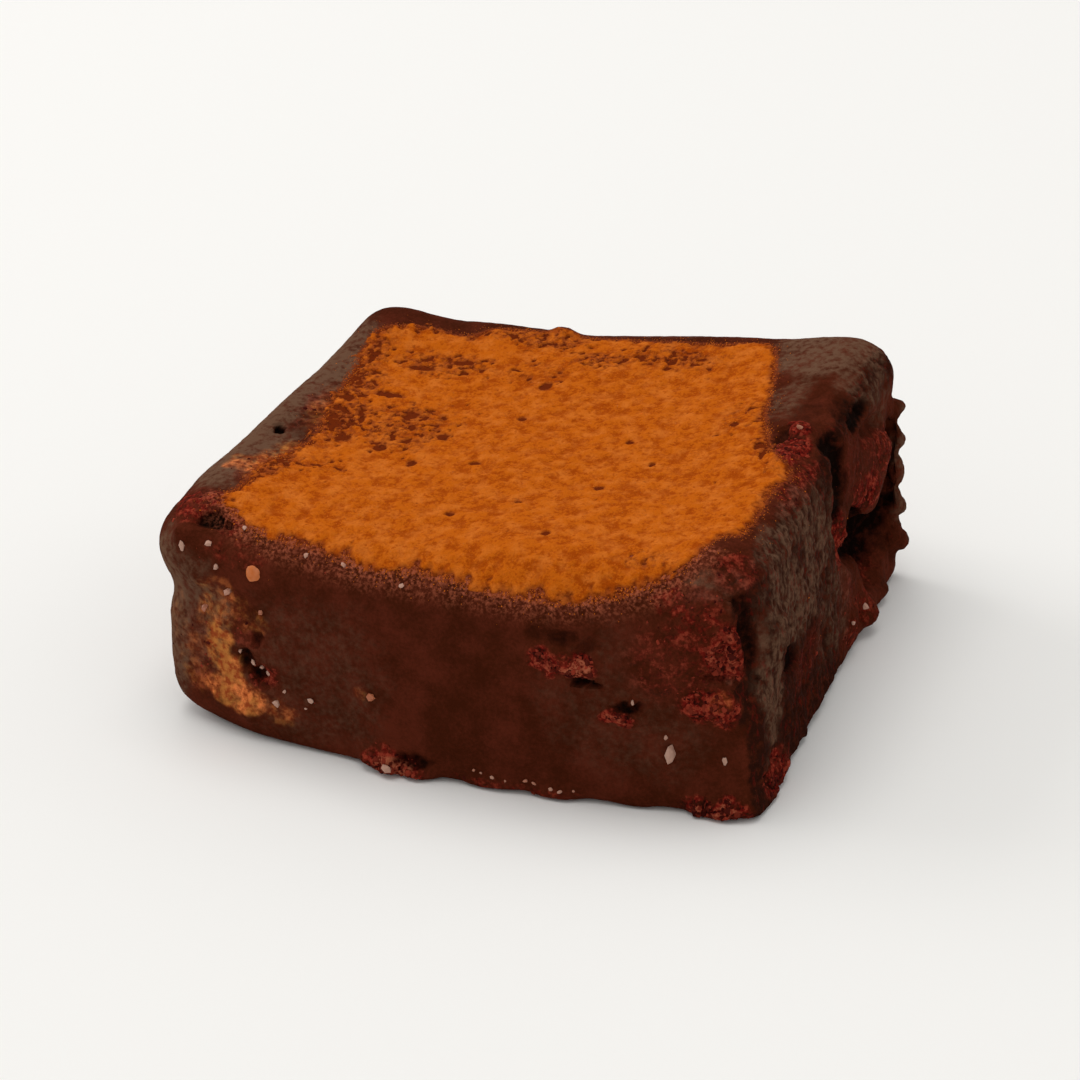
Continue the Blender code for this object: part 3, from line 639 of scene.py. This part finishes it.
def finish_fudge(skin):
    """Presses the grain of each face into the skin, and stores where each finish goes.

    It returns how likely a crumb is at each point.
    """
    points = points_of(skin.data)
    normals = normals_of(skin.data)

    # Where each kind of surface is, from 0 to 1.
    sideways = np.maximum(-normals[:, 1], np.maximum(normals[:, 1], -normals[:, 0]))
    smooth_cut = ramp(sideways, 0.5, 0.9)
    right_face = ramp(normals[:, 0], 0.30, 0.75) * ramp(points[:, 0], 26, 30)
    torn = ramp(points[:, 1] + 3.0 * noise(points, 4.0, 86), 1.0, 7.0)
    torn *= 1 - ramp(points[:, 2], 24.0, 27.0)
    rough_right = right_face * (1 - 0.65 * torn)
    crumbly = zones(strayed(points, 0.9, 1.9, 81), CRUMBLY_ZONES)
    tattered = ramp(points[:, 0], 26, 29) * torn
    aside = strayed(points, 0.35, 1.2, 82)
    aside += tattered[:, None] * (strayed(points, 1.3, 2.6, 87) - points)
    shaded = zones(aside, SHADED_ZONES)
    # Where the fudge is greyish: fat bloom and painted sheen.
    bloom_and_sheen = zones(strayed(points, 1.5, 3.6, 83), BLOOM_AND_SHEEN_ZONES)
    crumb_crests = lumps(points, 1.5, 11)
    right_crests = lumps(points, (1.2, 1.0, 1.15), 21)
    rough_right *= 1 - 0.6 * crumbly

    # The relief, which fades out toward the foot so that the base stays flat.
    rise = WAVE_HEIGHT * layered(points, 2.6, 1) + RIPPLE_HEIGHT * noise(points, 0.9, 2)
    rise += smooth_cut * RIPPLE_HEIGHT * layered(points, (4.0, 4.0, 0.8), 3)
    rise += crumbly * (CRUMB_HEIGHT * crumb_crests - CRUMB_SINK)
    upright = noise(points, (1.1, 1.2, 5.0), 27)
    rise += rough_right * (WRINKLE_HEIGHT * right_crests + WRINKLE_RIDGE * upright - WRINKLE_SINK)
    rise -= SHADE_DEPTH * shaded
    rise += domes(strayed(points, 0.25, 1.6, 84), EDGE_BEADS) - zones(points, BEADED_EDGE)
    pitted_cells = hashed(np.floor(points / PIT_SPACING), 7) > 0.5
    pits = cobbles(points, PIT_SPACING, 6) * pitted_cells
    rise -= smooth_cut * (1 - crumbly) * PIT_DEPTH * ramp(pits, 0.90, 1.0)
    fade = ramp(points[:, 2], 0.05, 0.8)
    points = points + normals * (rise * fade)[:, None]
    points[:, 2] = np.maximum(points[:, 2], 0)
    set_points(skin.data, points)

    # What the material reads.
    depth = powder_depth(points)
    # The crest is the relief's height, which the material also turns into painted highlight on the tops
    # and painted shade between them.
    crest = np.where(crumbly > rough_right, crumb_crests, right_crests)
    # Painted sheen: the grey keeps off the shaded and crumbly places, and on the rough right face it
    # stays on the crests, which catch the light.
    bloom_and_sheen *= (1 - shaded) * (1 - 0.75 * crumbly)
    bloom_and_sheen *= 1 - 0.7 * rough_right * (1 - ramp(right_crests + 0.5 * upright, 0.25, 0.75))
    paint(skin.data, "crumbly", crumbly)
    paint(skin.data, "rough", rough_right)
    paint(skin.data, "crest", crest)
    paint(skin.data, "bloom_and_sheen", bloom_and_sheen)
    paint(skin.data, "shaded", shaded)
    paint(skin.data, "smear", zones(strayed(points, 0.6, 1.8, 85), SMEARS))
    streaks = 0.75 + 0.6 * noise(points, (0.8, 3.0, 3.0), 26)
    fringe = streaks * ramp(depth, -3.2, -0.2) * (points[:, 1] < FRONT_ROLL_Y)
    paint(skin.data, "stain", ramp(depth, -1.0, 0.7))
    paint(skin.data, "fringe", np.clip(fringe, 0, 1))
    return crumbly * (1 - 0.7 * shaded)


# ---------------------------------------------------------------- the powder


def patch_distance(points, x, y, half_width, half_depth):
    """How far each point is from the middle of an oval patch seen from above: 1 at its edge."""
    return np.hypot((points[:, 0] - x) / half_width, (points[:, 1] - y) / half_depth)


def powder_thinness(points):
    """How worn the powder is at each point, from 0 to 1."""
    thin = np.zeros(len(points))
    for *patch, share in THIN_PATCHES:
        distance = patch_distance(points, *patch)
        thin = np.maximum(thin, share * (1 - ramp(distance, 0.3, 1.5)))
    return thin


def powder_amount(points):
    """How much powder lies at each point: up to 1 inside the rim, 0 at it and below 0 outside it."""
    depth = powder_depth(points)
    tongues = 0.75 * noise(points, (0.95, 3.5, 3.5), 40) * ramp(-points[:, 1], 20, 23)
    ragged = summed(points, RIM_FRAYS)
    ragged *= 1 + 0.8 * ramp(-points[:, 0], 16, 22)
    amount = (depth - 0.25 + ragged + tongues) / 1.2
    holes = summed(points, HOLE_NOISE)
    amount = np.minimum(amount, 1.7 * (holes + 1.10 - 1.05 * powder_thinness(points)))
    edge = 0.25 * noise(points, 0.7, 49)
    for pit in POWDER_PITS:
        distance = patch_distance(points, *pit)
        amount = np.minimum(amount, (distance + edge - 0.55) * 1.6)
    return np.clip(amount, -1, 1)


def powder_sheet(tree):
    """A sheet that lies on the fudge where there is powder, and dips under it elsewhere."""
    low = RIM_LOOP.min(0) - SHEET_REACH
    high = RIM_LOOP.max(0) + SHEET_REACH
    across = np.arange(low[0], high[0], SHEET_STEP)
    back = np.arange(low[1], high[1], SHEET_STEP)
    grid = np.stack(np.meshgrid(across, back, indexing="ij"), -1)
    near = depth_inside(grid.reshape(-1, 2), RIM_LOOP).reshape(grid.shape[:2]) > -SHEET_REACH
    index = np.full(near.shape, -1)
    places = []
    normals = []
    for i, j in np.argwhere(near):
        start = Vector((*grid[i, j], SHEET_START_HEIGHT))
        place, normal, _, _ = tree.ray_cast(start, Vector((0, 0, -1)))
        if place is None or normal.z < LEAST_NORMAL_Z:
            continue
        index[i, j] = len(places)
        places.append(place)
        normals.append(normal)
    points = np.array(places)
    normals = np.array(normals)
    amount = powder_amount(points)
    clumps = np.clip(0.5 + 0.55 * noise(points, 1.5, 46) + 0.45 * noise(points, 0.8, 50), 0, 1)
    grain = cobbles(points, 0.55, 47)
    rough = 0.18 * (clumps - 0.5) + 0.08 * (grain - 0.4) + 0.06 * noise(points, 2.8, 48)
    lift = SHEET_THICKNESS * ramp(amount, -0.1, 0.8) + rough * ramp(amount, 0.0, 0.6)
    lift = np.where(amount > 0, np.maximum(lift, SHEET_LEAST_LIFT), -SHEET_DIP)
    points = points + normals * lift[:, None]
    corners = np.stack([index[:-1, :-1], index[1:, :-1], index[1:, 1:], index[:-1, 1:]], -1)
    corners = corners.reshape(-1, 4)
    corners = corners[(corners >= 0).all(1)]
    corners = corners[(amount[corners] > -0.05).any(1)]
    used, renumbered = np.unique(corners, return_inverse=True)
    mesh = mesh_from("cocoa_powder", points[used], renumbered.reshape(-1, 4))
    paint(mesh, "amount", amount[used])
    paint(mesh, "thin", powder_thinness(points[used]))
    # The clumps also set the painted shade of the powder where they lie low.
    paint(mesh, "clump", 0.8 * clumps[used] + 0.2 * grain[used])
    return new_object("cocoa_powder", mesh)


# ---------------------------------------------------------------- grains, crumbs and crystals


def speck_shape(fineness):
    """Points and triangles of a round shape: 0 has 8 triangles, 1 has 20, 2 has 80 and 4 has 1,280."""
    mesh = bmesh.new()
    if fineness:
        bmesh.ops.create_icosphere(mesh, subdivisions=fineness, radius=1.0)
    else:
        bmesh.ops.create_uvsphere(mesh, u_segments=4, v_segments=2, radius=1.0)
    points = np.array([vertex.co for vertex in mesh.verts])
    faces = np.array([[vertex.index for vertex in face.verts] for face in mesh.faces])
    mesh.free()
    return points, faces


def scattered(name, places, normals, sizes, tones, fineness, seed, tall=0.8):
    """Small uneven specks as one mesh, each on its own bit of surface. The coarse shapes are faceted."""
    shape, faces = speck_shape(fineness)
    random = np.random.default_rng(seed)
    count = len(places)
    turns = random.uniform(0, math.tau, count)
    uneven = 1 + random.uniform(-SPECK_UNEVENNESS, SPECK_UNEVENNESS, (count, len(shape), 1))
    stretch = random.uniform(*SPECK_STRETCH, (count, 1, 3))
    stretch[:, :, 2] *= tall
    local = shape[None] * uneven * stretch
    side = np.cross(normals, np.where(np.abs(normals[:, :1]) < 0.8, (1.0, 0, 0), (0, 1.0, 0)))
    side /= np.linalg.norm(side, axis=1)[:, None]
    other = np.cross(normals, side)
    first = side * np.cos(turns)[:, None] + other * np.sin(turns)[:, None]
    second = np.cross(normals, first)
    axes = np.stack([first, second, normals], axis=1)
    points = np.einsum("nvk,nkd->nvd", local, axes) * sizes[:, None, None] + places[:, None]
    points[:, :, 2] = np.maximum(points[:, :, 2], SPECK_LOWEST)
    corners = faces[None] + np.arange(count)[:, None, None] * len(shape)
    mesh = mesh_from(name, points.reshape(-1, 3), corners.reshape(-1, 3))
    paint(mesh, "tone", np.repeat(tones, len(shape)))
    if fineness < 2:
        mesh.shade_flat()
    return new_object(name, mesh)


def chosen(chances, count, random):
    """Which of the places get a speck, by how likely each place is."""
    return random.choice(len(chances), count, p=chances / chances.sum())


def powder_grains(skin, sheet):
    """Loose grains all over the powder, thick along its rim and thinning out on the bare fudge."""
    random = np.random.default_rng(5)
    sheet_points = points_of(sheet.data)
    amount = np.empty(len(sheet_points))
    sheet.data.attributes["amount"].data.foreach_get("value", amount)
    on_top = chosen(ramp(amount, 0.1, 0.7) + 0.35 * (amount > 0), GRAINS_ON_TOP, random)
    skin_points = points_of(skin.data)
    depth = powder_depth(skin_points)
    past = np.clip(depth + summed(skin_points, GRAIN_FRAYS), -9, 0.6)
    fringe = 0.10 * np.exp(past / 0.9) * (skin_points[:, 1] < FRONT_ROLL_Y)
    chance = np.where(depth < 0.8, np.exp(past / 0.45) + fringe + 0.0003 * np.exp(past / 3.0), 0)
    on_rim = chosen(chance * (skin_points[:, 2] > 6), GRAINS_ON_RIM, random)
    places = np.concatenate([sheet_points[on_top], skin_points[on_rim]])
    normals = np.concatenate([normals_of(sheet.data)[on_top], normals_of(skin.data)[on_rim]])
    low, high = GRAIN_SIZES
    sizes = low + (high - low) * random.random(len(places)) ** 2
    aside = np.cross(normals, random.uniform(-1, 1, places.shape))
    places = places + GRAIN_STRAY * aside - normals * GRAIN_SINK * sizes[:, None]
    return scattered("cocoa_grains", places, normals, sizes, random.random(len(places)), 0, 6)


def loose_crumbs(skin, chances):
    """Crumbs fused to the rough places, and a few fine ones elsewhere on the cut faces."""
    random = np.random.default_rng(8)
    points = points_of(skin.data)
    bare = powder_depth(points) < -1.5
    where = chosen((chances**2.4 + 0.0008 * bare) * (points[:, 2] > 0.3), CRUMB_COUNT, random)
    low, high = CRUMB_SIZES
    sizes = low + (high - low) * random.random(CRUMB_COUNT) ** 2.2
    sizes *= 0.35 + 0.65 * chances[where]
    normals = normals_of(skin.data)[where]
    places = points[where] - normals * CRUMB_BURIED * sizes[:, None]
    tones = random.random(CRUMB_COUNT) ** 1.7
    return scattered("crumbs", places, normals, sizes, tones, 2, 9, 0.65)


def sugar_crystals(tree):
    """Faceted crystals stuck to the faces, each where the list says and stretched upright."""
    places = []
    normals = []
    shapes = []
    for place, width, tall, tone in CRYSTALS:
        on_skin, normal, _, _ = tree.find_nearest(Vector(place))
        places.append(on_skin + normal * CRYSTAL_RAISED * width)
        normals.append(normal)
        shapes.append((width, tall, tone))
    places = np.array(places)
    normals = np.array(normals)
    widths, heights, tones = np.array(shapes).T
    crystals = scattered("sugar_crystals", places, normals, widths, tones, 1, 12, 0.7)
    points = points_of(crystals.data).reshape(len(places), -1, 3)
    middles = points.mean(1)[:, None]
    same = np.ones(len(heights))
    points = middles + (points - middles) * np.stack([same, same, heights], -1)[:, None]
    set_points(crystals.data, points.reshape(-1, 3))
    return crystals


def powder_spot(tree):
    """The round blob of powder on the front left corner, with a ragged edge."""
    shape, faces = speck_shape(4)
    place, normal, _, _ = tree.find_nearest(Vector(SPOT_PLACE))
    turn = np.array(normal.to_track_quat("Z", "Y").to_matrix())
    round_edge = 1 + 0.10 * noise(shape * 3, 1.6, 71)[:, None]
    local = shape * round_edge * (SPOT_RADIUS, SPOT_RADIUS, SPOT_HEIGHT)
    points = local @ turn.T + np.array(place)
    points += 0.05 * noise(points, 0.4, 72)[:, None] * np.array(normal)
    mesh = mesh_from("powder_spot", points, faces)
    paint(mesh, "tone", np.clip(0.75 + 0.5 * noise(points, 0.5, 73), 0, 1))
    return new_object("powder_spot", mesh)


# ---------------------------------------------------------------- materials


class Nodes:
    """Short calls for the nodes of one material."""

    def __init__(self, name):
        self.material = bpy.data.materials.new(name)
        self.material.use_nodes = True
        self.tree = self.material.node_tree
        self.shader = self.tree.nodes["Principled BSDF"]
        self.place = self.tree.nodes.new("ShaderNodeTexCoord").outputs["Object"]

    def link(self, source, socket):
        """Links an output to a socket."""
        self.tree.links.new(source, socket)

    def put(self, socket, value):
        """Sets a socket to a plain value, or links an output to it."""
        if isinstance(value, bpy.types.NodeSocket):
            self.link(value, socket)
        else:
            socket.default_value = value

    def mask(self, name):
        """A number that the mesh stores for each vertex."""
        node = self.tree.nodes.new("ShaderNodeAttribute")
        node.attribute_name = name
        return node.outputs["Fac"]

    def noise(self, size, detail, roughness=0.55, stretch=None):
        """Noise with features of that size in mm, from 0 to 1."""
        node = self.tree.nodes.new("ShaderNodeTexNoise")
        node.inputs["Scale"].default_value = 1 / (size * MM)
        node.inputs["Detail"].default_value = detail
        node.inputs["Roughness"].default_value = roughness
        self.link(self.stretched(stretch) if stretch else self.place, node.inputs["Vector"])
        return node.outputs["Fac"]

    def stretched(self, stretch):
        """The place scaled along each axis: a share below 1 draws the noise out along that axis."""
        node = self.tree.nodes.new("ShaderNodeMapping")
        node.inputs["Scale"].default_value = stretch
        self.link(self.place, node.inputs["Vector"])
        return node.outputs["Vector"]

    def math(self, operation, first, second):
        """Arithmetic with two numbers or outputs."""
        node = self.tree.nodes.new("ShaderNodeMath")
        node.operation = operation
        self.put(node.inputs[0], first)
        self.put(node.inputs[1], second)
        return node.outputs[0]

    def between(self, value, low, high, start=0.0, end=1.0):
        """A smooth step from start, where the value is low, to end, where it is high."""
        node = self.tree.nodes.new("ShaderNodeMapRange")
        node.interpolation_type = "SMOOTHSTEP"
        self.put(node.inputs["Value"], value)
        node.inputs["From Min"].default_value = low
        node.inputs["From Max"].default_value = high
        node.inputs["To Min"].default_value = start
        node.inputs["To Max"].default_value = end
        return node.outputs["Result"]

    def broken(self, name, texture, low, high):
        """A stored mask broken up by a texture: 0 where the mask is 0, and ragged at its edge."""
        share = self.math("MULTIPLY", self.mask(name), self.between(texture, 0.25, 0.75, 0.35, 1.5))
        return self.between(share, low, high)

    def mix(self, share, first, second):
        """The first colour where the share is 0, running to the second where it is 1."""
        node = self.tree.nodes.new("ShaderNodeMix")
        node.data_type = "RGBA"
        self.put(node.inputs["Factor"], share)
        self.put(node.inputs["A"], first)
        self.put(node.inputs["B"], second)
        return next(output for output in node.outputs if output.type == "RGBA")

    def bump(self, height, depth, before=None):
        """Relief of that depth in mm, on top of the relief before it."""
        node = self.tree.nodes.new("ShaderNodeBump")
        node.inputs["Strength"].default_value = 1.0
        node.inputs["Distance"].default_value = depth * MM
        self.link(height, node.inputs["Height"])
        if before:
            self.link(before, node.inputs["Normal"])
        return node.outputs["Normal"]

    def finish(self, tint, roughness, specular, relief=None):
        """Gives the shader its colour, roughness, shine and relief, and returns the material."""
        self.put(self.shader.inputs["Base Color"], tint)
        self.put(self.shader.inputs["Roughness"], roughness)
        self.put(self.shader.inputs["Specular IOR Level"], specular)
        if relief:
            self.link(relief, self.shader.inputs["Normal"])
        return self.material


def linear(share):
    """The amount of light behind a share of brightness as it shows on a screen, each from 0 to 1."""
    if share < 0.04045:
        return share / 12.92
    return ((share + 0.055) / 1.055) ** 2.4


def colour(red, green, blue):
    """A colour given as it shows on a screen, from 0 to 255, as the linear one that a shader takes."""
    return (linear(red / 255), linear(green / 255), linear(blue / 255), 1)


FUDGE_DARK = colour(62, 24, 10)
FUDGE_LIGHT = colour(88, 36, 22)
# Painted shade in the crevices of the crumb.
CRUMB_CREVICE_SHADE = colour(30, 8, 7)
CRUMB_DEEP = colour(54, 13, 10)
CRUMB_RED = colour(104, 22, 16)
# Pale crumb, and painted highlight on the crests of the crumb.
CRUMB_PALE_AND_HIGHLIGHT = colour(146, 56, 39)
# Grey of the fat bloom and of the painted sheen.
BLOOM_AND_SHEEN_GREY = colour(101, 72, 55)
# Painted shade in the valleys of the rough right face.
VALLEY_SHADE = colour(46, 20, 12)
SHADE_DARK = colour(17, 7, 4)
SMEAR_DEEP = colour(148, 66, 32)
SMEAR_OLIVE = colour(186, 116, 56)
SMEAR_ORANGE = colour(232, 130, 70)
STAIN_BROWN = colour(122, 54, 26)
# Pale specks of the powder's fringe, also painted highlight on the crests of the crumbliest chunks.
FRINGE_PALE_AND_HIGHLIGHT = colour(164, 88, 62)
STAIN_DEEP = colour(104, 38, 10)
COCOA = colour(192, 94, 15)
COCOA_BRIGHT = colour(208, 112, 38)
# The powder's deep tone, which is also its painted shade where its clumps lie low.
COCOA_DEEP_AND_SHADE = colour(160, 67, 6)
COCOA_THIN = colour(148, 68, 26)
COCOA_WORN = colour(92, 32, 12)
CRYSTAL_PALE = colour(184, 146, 128)
CRYSTAL_ORANGE = colour(170, 92, 56)
SPOT_ORANGE = colour(194, 116, 76)

FUDGE_ROUGHNESS = 0.85
POWDER_ROUGHNESS = 0.95
CRUMB_ROUGHNESS = 0.8
CRYSTAL_ROUGHNESS = 0.4
FUDGE_SHINE = 0.01
SPECK_SHINE = 0.02
CRYSTAL_SHINE = 0.3


def fudge_material():
    """Dark fudge, its rough, crumbly, streaked, shaded, smeared and stained places, and bloom with
    painted sheen.
    """
    nodes = Nodes("fudge_finish")
    fine = nodes.noise(0.36, detail=4, roughness=0.65)
    flecks = nodes.noise(0.75, detail=4, roughness=0.6)
    medium = nodes.noise(1.3, detail=5, roughness=0.62)
    patches = nodes.noise(3.4, detail=4)
    grain = nodes.math("ADD", patches, nodes.between(fine, 0.25, 0.75, -0.12, 0.12))
    tint = nodes.mix(nodes.between(grain, 0.25, 0.80), FUDGE_DARK, FUDGE_LIGHT)
    # Painted shade: the rough right face darkens in flecks that stand for the shade in the valleys of
    # its wrinkles.
    tint = nodes.mix(nodes.broken("rough", flecks, 0.20, 1.10), tint, VALLEY_SHADE)
    # Painted light and shade on the crumb: it runs from dark in the crevices through red to pale
    # highlights on the crests, broken up by noise.
    height = nodes.math("ADD", nodes.mask("crest"), nodes.between(flecks, 0.25, 0.75, -0.35, 0.35))
    height = nodes.math("ADD", height, nodes.between(fine, 0.30, 0.70, -0.30, 0.30))
    crumb = nodes.mix(nodes.between(height, 0.25, 0.70), CRUMB_CREVICE_SHADE, CRUMB_RED)
    crumb = nodes.mix(nodes.between(height, 0.70, 1.16), crumb, CRUMB_PALE_AND_HIGHLIGHT)
    # Painted highlight: the tops of the crumbliest places turn palest.
    crumbliest = nodes.between(nodes.mask("crumbly"), 0.82, 1.0)
    pale_lit_crests = nodes.math("MULTIPLY", crumbliest, nodes.between(height, 0.5, 1.0))
    crumb = nodes.mix(pale_lit_crests, crumb, FRINGE_PALE_AND_HIGHLIGHT)
    tint = nodes.mix(nodes.broken("crumbly", flecks, 0.15, 0.85), tint, crumb)
    # Fat bloom and painted sheen: greyish where the mask says.
    tint = nodes.mix(nodes.broken("bloom_and_sheen", flecks, 0.10, 1.10), tint, BLOOM_AND_SHEEN_GREY)
    # Upright streaks on the rough right face: painted shade in the darker ones, red fudge in the others.
    streaks = nodes.noise(0.5, detail=3, roughness=0.6, stretch=(1.0, 1.0, 0.25))
    rough = nodes.mask("rough")
    dark_streaks = nodes.math("MULTIPLY", rough, nodes.between(streaks, 0.50, 0.66, 0.0, 0.75))
    red_streaks = nodes.math("MULTIPLY", rough, nodes.between(streaks, 0.32, 0.44, 0.45, 0.0))
    tint = nodes.mix(dark_streaks, tint, VALLEY_SHADE)
    tint = nodes.mix(red_streaks, tint, CRUMB_RED)
    uneven_shade = nodes.between(flecks, 0.25, 0.75, 0.70, 1.40)
    shade = nodes.math("MULTIPLY", nodes.mask("shaded"), uneven_shade)
    tint = nodes.mix(nodes.between(shade, 0.05, 1.00), tint, SHADE_DARK)
    orange = nodes.mix(nodes.between(patches, 0.42, 0.60), SMEAR_OLIVE, SMEAR_ORANGE)
    orange = nodes.mix(nodes.between(flecks, 0.36, 0.60), SMEAR_DEEP, orange)
    tint = nodes.mix(nodes.broken("smear", medium, 0.10, 0.90), tint, orange)
    powdery = nodes.mix(nodes.between(nodes.mask("stain"), 0.7, 1.0), STAIN_BROWN, STAIN_DEEP)
    tint = nodes.mix(nodes.broken("stain", fine, 0.28, 0.80), tint, powdery)
    frost = nodes.math("MULTIPLY", nodes.mask("fringe"), nodes.between(fine, 0.42, 0.68))
    tint = nodes.mix(frost, tint, FRINGE_PALE_AND_HIGHLIGHT)
    uneven = nodes.math("ADD", rough, nodes.mask("crumbly"))
    relief = nodes.bump(nodes.math("MULTIPLY", flecks, uneven), 0.36)
    relief = nodes.bump(nodes.noise(0.9, detail=5, roughness=0.6), 0.12, relief)
    relief = nodes.bump(fine, 0.08, relief)
    return nodes.finish(tint, FUDGE_ROUGHNESS, FUDGE_SHINE, relief)


def powder_material():
    """Orange-brown powder with brighter and darker patches and painted shade between its clumps, worn
    where it is thin or runs out.
    """
    nodes = Nodes("powder_finish")
    fine = nodes.noise(0.34, detail=4, roughness=0.65)
    # Painted shade: the powder is darker where its clumps lie low, as the clump mask also sets the
    # sheet's relief.
    height = nodes.math("ADD", nodes.mask("clump"), nodes.between(fine, 0.25, 0.75, -0.35, 0.35))
    tint = nodes.mix(nodes.between(height, 0.15, 0.75), COCOA_DEEP_AND_SHADE, COCOA)
    patches = nodes.noise(1.9, detail=4, roughness=0.6)
    tint = nodes.mix(nodes.between(patches, 0.42, 0.72, 0.0, 0.8), tint, COCOA_BRIGHT)
    flecks = nodes.noise(0.5, detail=2, roughness=0.5)
    tint = nodes.mix(nodes.between(flecks, 0.54, 0.72, 0.0, 0.75), tint, COCOA_DEEP_AND_SHADE)
    specks = nodes.noise(0.8, detail=4, roughness=0.62)
    worn = nodes.mix(nodes.between(flecks, 0.42, 0.60), COCOA_THIN, COCOA_WORN)
    tint = nodes.mix(nodes.broken("thin", specks, 0.30, 1.05), tint, worn)
    tint = nodes.mix(nodes.between(nodes.mask("amount"), 0.0, 0.70, 0.90, 0.0), tint, worn)
    relief = nodes.bump(nodes.noise(0.8, detail=3, roughness=0.6), 0.16)
    relief = nodes.bump(nodes.noise(0.26, detail=3, roughness=0.7), 0.14, relief)
    return nodes.finish(tint, POWDER_ROUGHNESS, SPECK_SHINE, relief)


def speck_material(name, low, high, roughness, specular=SPECK_SHINE):
    """Specks whose colour runs from the first to the second with their tone."""
    nodes = Nodes(name)
    return nodes.finish(nodes.mix(nodes.mask("tone"), low, high), roughness, specular)


# ---------------------------------------------------------------- the scene


def floor_and_light():
    """A pale floor, an even sky and the soft boxes."""
    mesh = bmesh.new()
    bmesh.ops.create_grid(mesh, x_segments=1, y_segments=1, size=FLOOR_SIZE_M / 2)
    data = bpy.data.meshes.new("floor")
    mesh.to_mesh(data)
    mesh.free()
    floor = new_object("floor", data)
    material = bpy.data.materials.new("floor_finish")
    material.use_nodes = True
    shader = material.node_tree.nodes["Principled BSDF"]
    shader.inputs["Base Color"].default_value = FLOOR_COLOUR
    shader.inputs["Roughness"].default_value = FLOOR_ROUGHNESS
    data.materials.append(material)
    world = bpy.data.worlds.new("studio")
    bpy.context.scene.world = world
    world.use_nodes = True
    background = world.node_tree.nodes["Background"]
    background.inputs["Color"].default_value = WORLD_COLOUR
    background.inputs["Strength"].default_value = WORLD_STRENGTH
    target = Vector(CAMERA_TARGET) * MM
    for name, place, width, watts, tint in SOFT_BOXES:
        data = bpy.data.lights.new(name, "AREA")
        data.shape = "SQUARE"
        data.size = width
        data.energy = watts
        data.color = tint
        light = new_object(name, data)
        light.location = Vector(place) * MM
        light.rotation_euler = (target - light.location).to_track_quat("-Z", "Y").to_euler()


def camera():
    """The camera, placed where the photograph was taken from."""
    data = bpy.data.cameras.new("camera")
    data.sensor_width = SENSOR_WIDTH
    data.lens = CAMERA_LENS
    data.clip_start = CAMERA_NEAREST_M
    made = new_object("camera", data)
    made.location = Vector(CAMERA_PLACE) * MM
    aim = (Vector(CAMERA_TARGET) * MM - made.location).to_track_quat("-Z", "Y")
    lean = Matrix.Rotation(math.radians(CAMERA_LEAN_DEGREES), 3, "Z")
    made.rotation_euler = (aim.to_matrix() @ lean).to_euler()
    bpy.context.scene.camera = made
    bpy.context.scene.view_settings.view_transform = "Standard"


def add_piece(piece, material):
    """Dresses a finished piece and says what it belongs to."""
    piece.data.materials.clear()
    piece.data.materials.append(material)
    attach(piece, "root")
    print(piece.name, sum(len(face.vertices) - 2 for face in piece.data.polygons), "triangles")


floor_and_light()
camera()

fudge = fine_skin()
crumb_chances = finish_fudge(fudge)
add_piece(fudge, fudge_material())
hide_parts("brownie")

fudge_tree = tree_of(fudge.data)
powder = powder_sheet(fudge_tree)
add_piece(powder, powder_material())
grain_finish = speck_material("grain_finish", COCOA, COCOA_BRIGHT, POWDER_ROUGHNESS)
add_piece(powder_grains(fudge, powder), grain_finish)
crumb_finish = speck_material("crumb_finish", CRUMB_DEEP, CRUMB_PALE_AND_HIGHLIGHT, CRUMB_ROUGHNESS)
add_piece(loose_crumbs(fudge, crumb_chances), crumb_finish)
crystal_finish = speck_material(
    "crystal_finish", CRYSTAL_PALE, CRYSTAL_ORANGE, CRYSTAL_ROUGHNESS, CRYSTAL_SHINE
)
add_piece(sugar_crystals(fudge_tree), crystal_finish)
spot_finish = speck_material("spot_finish", COCOA, SPOT_ORANGE, POWDER_ROUGHNESS)
add_piece(powder_spot(fudge_tree), spot_finish)
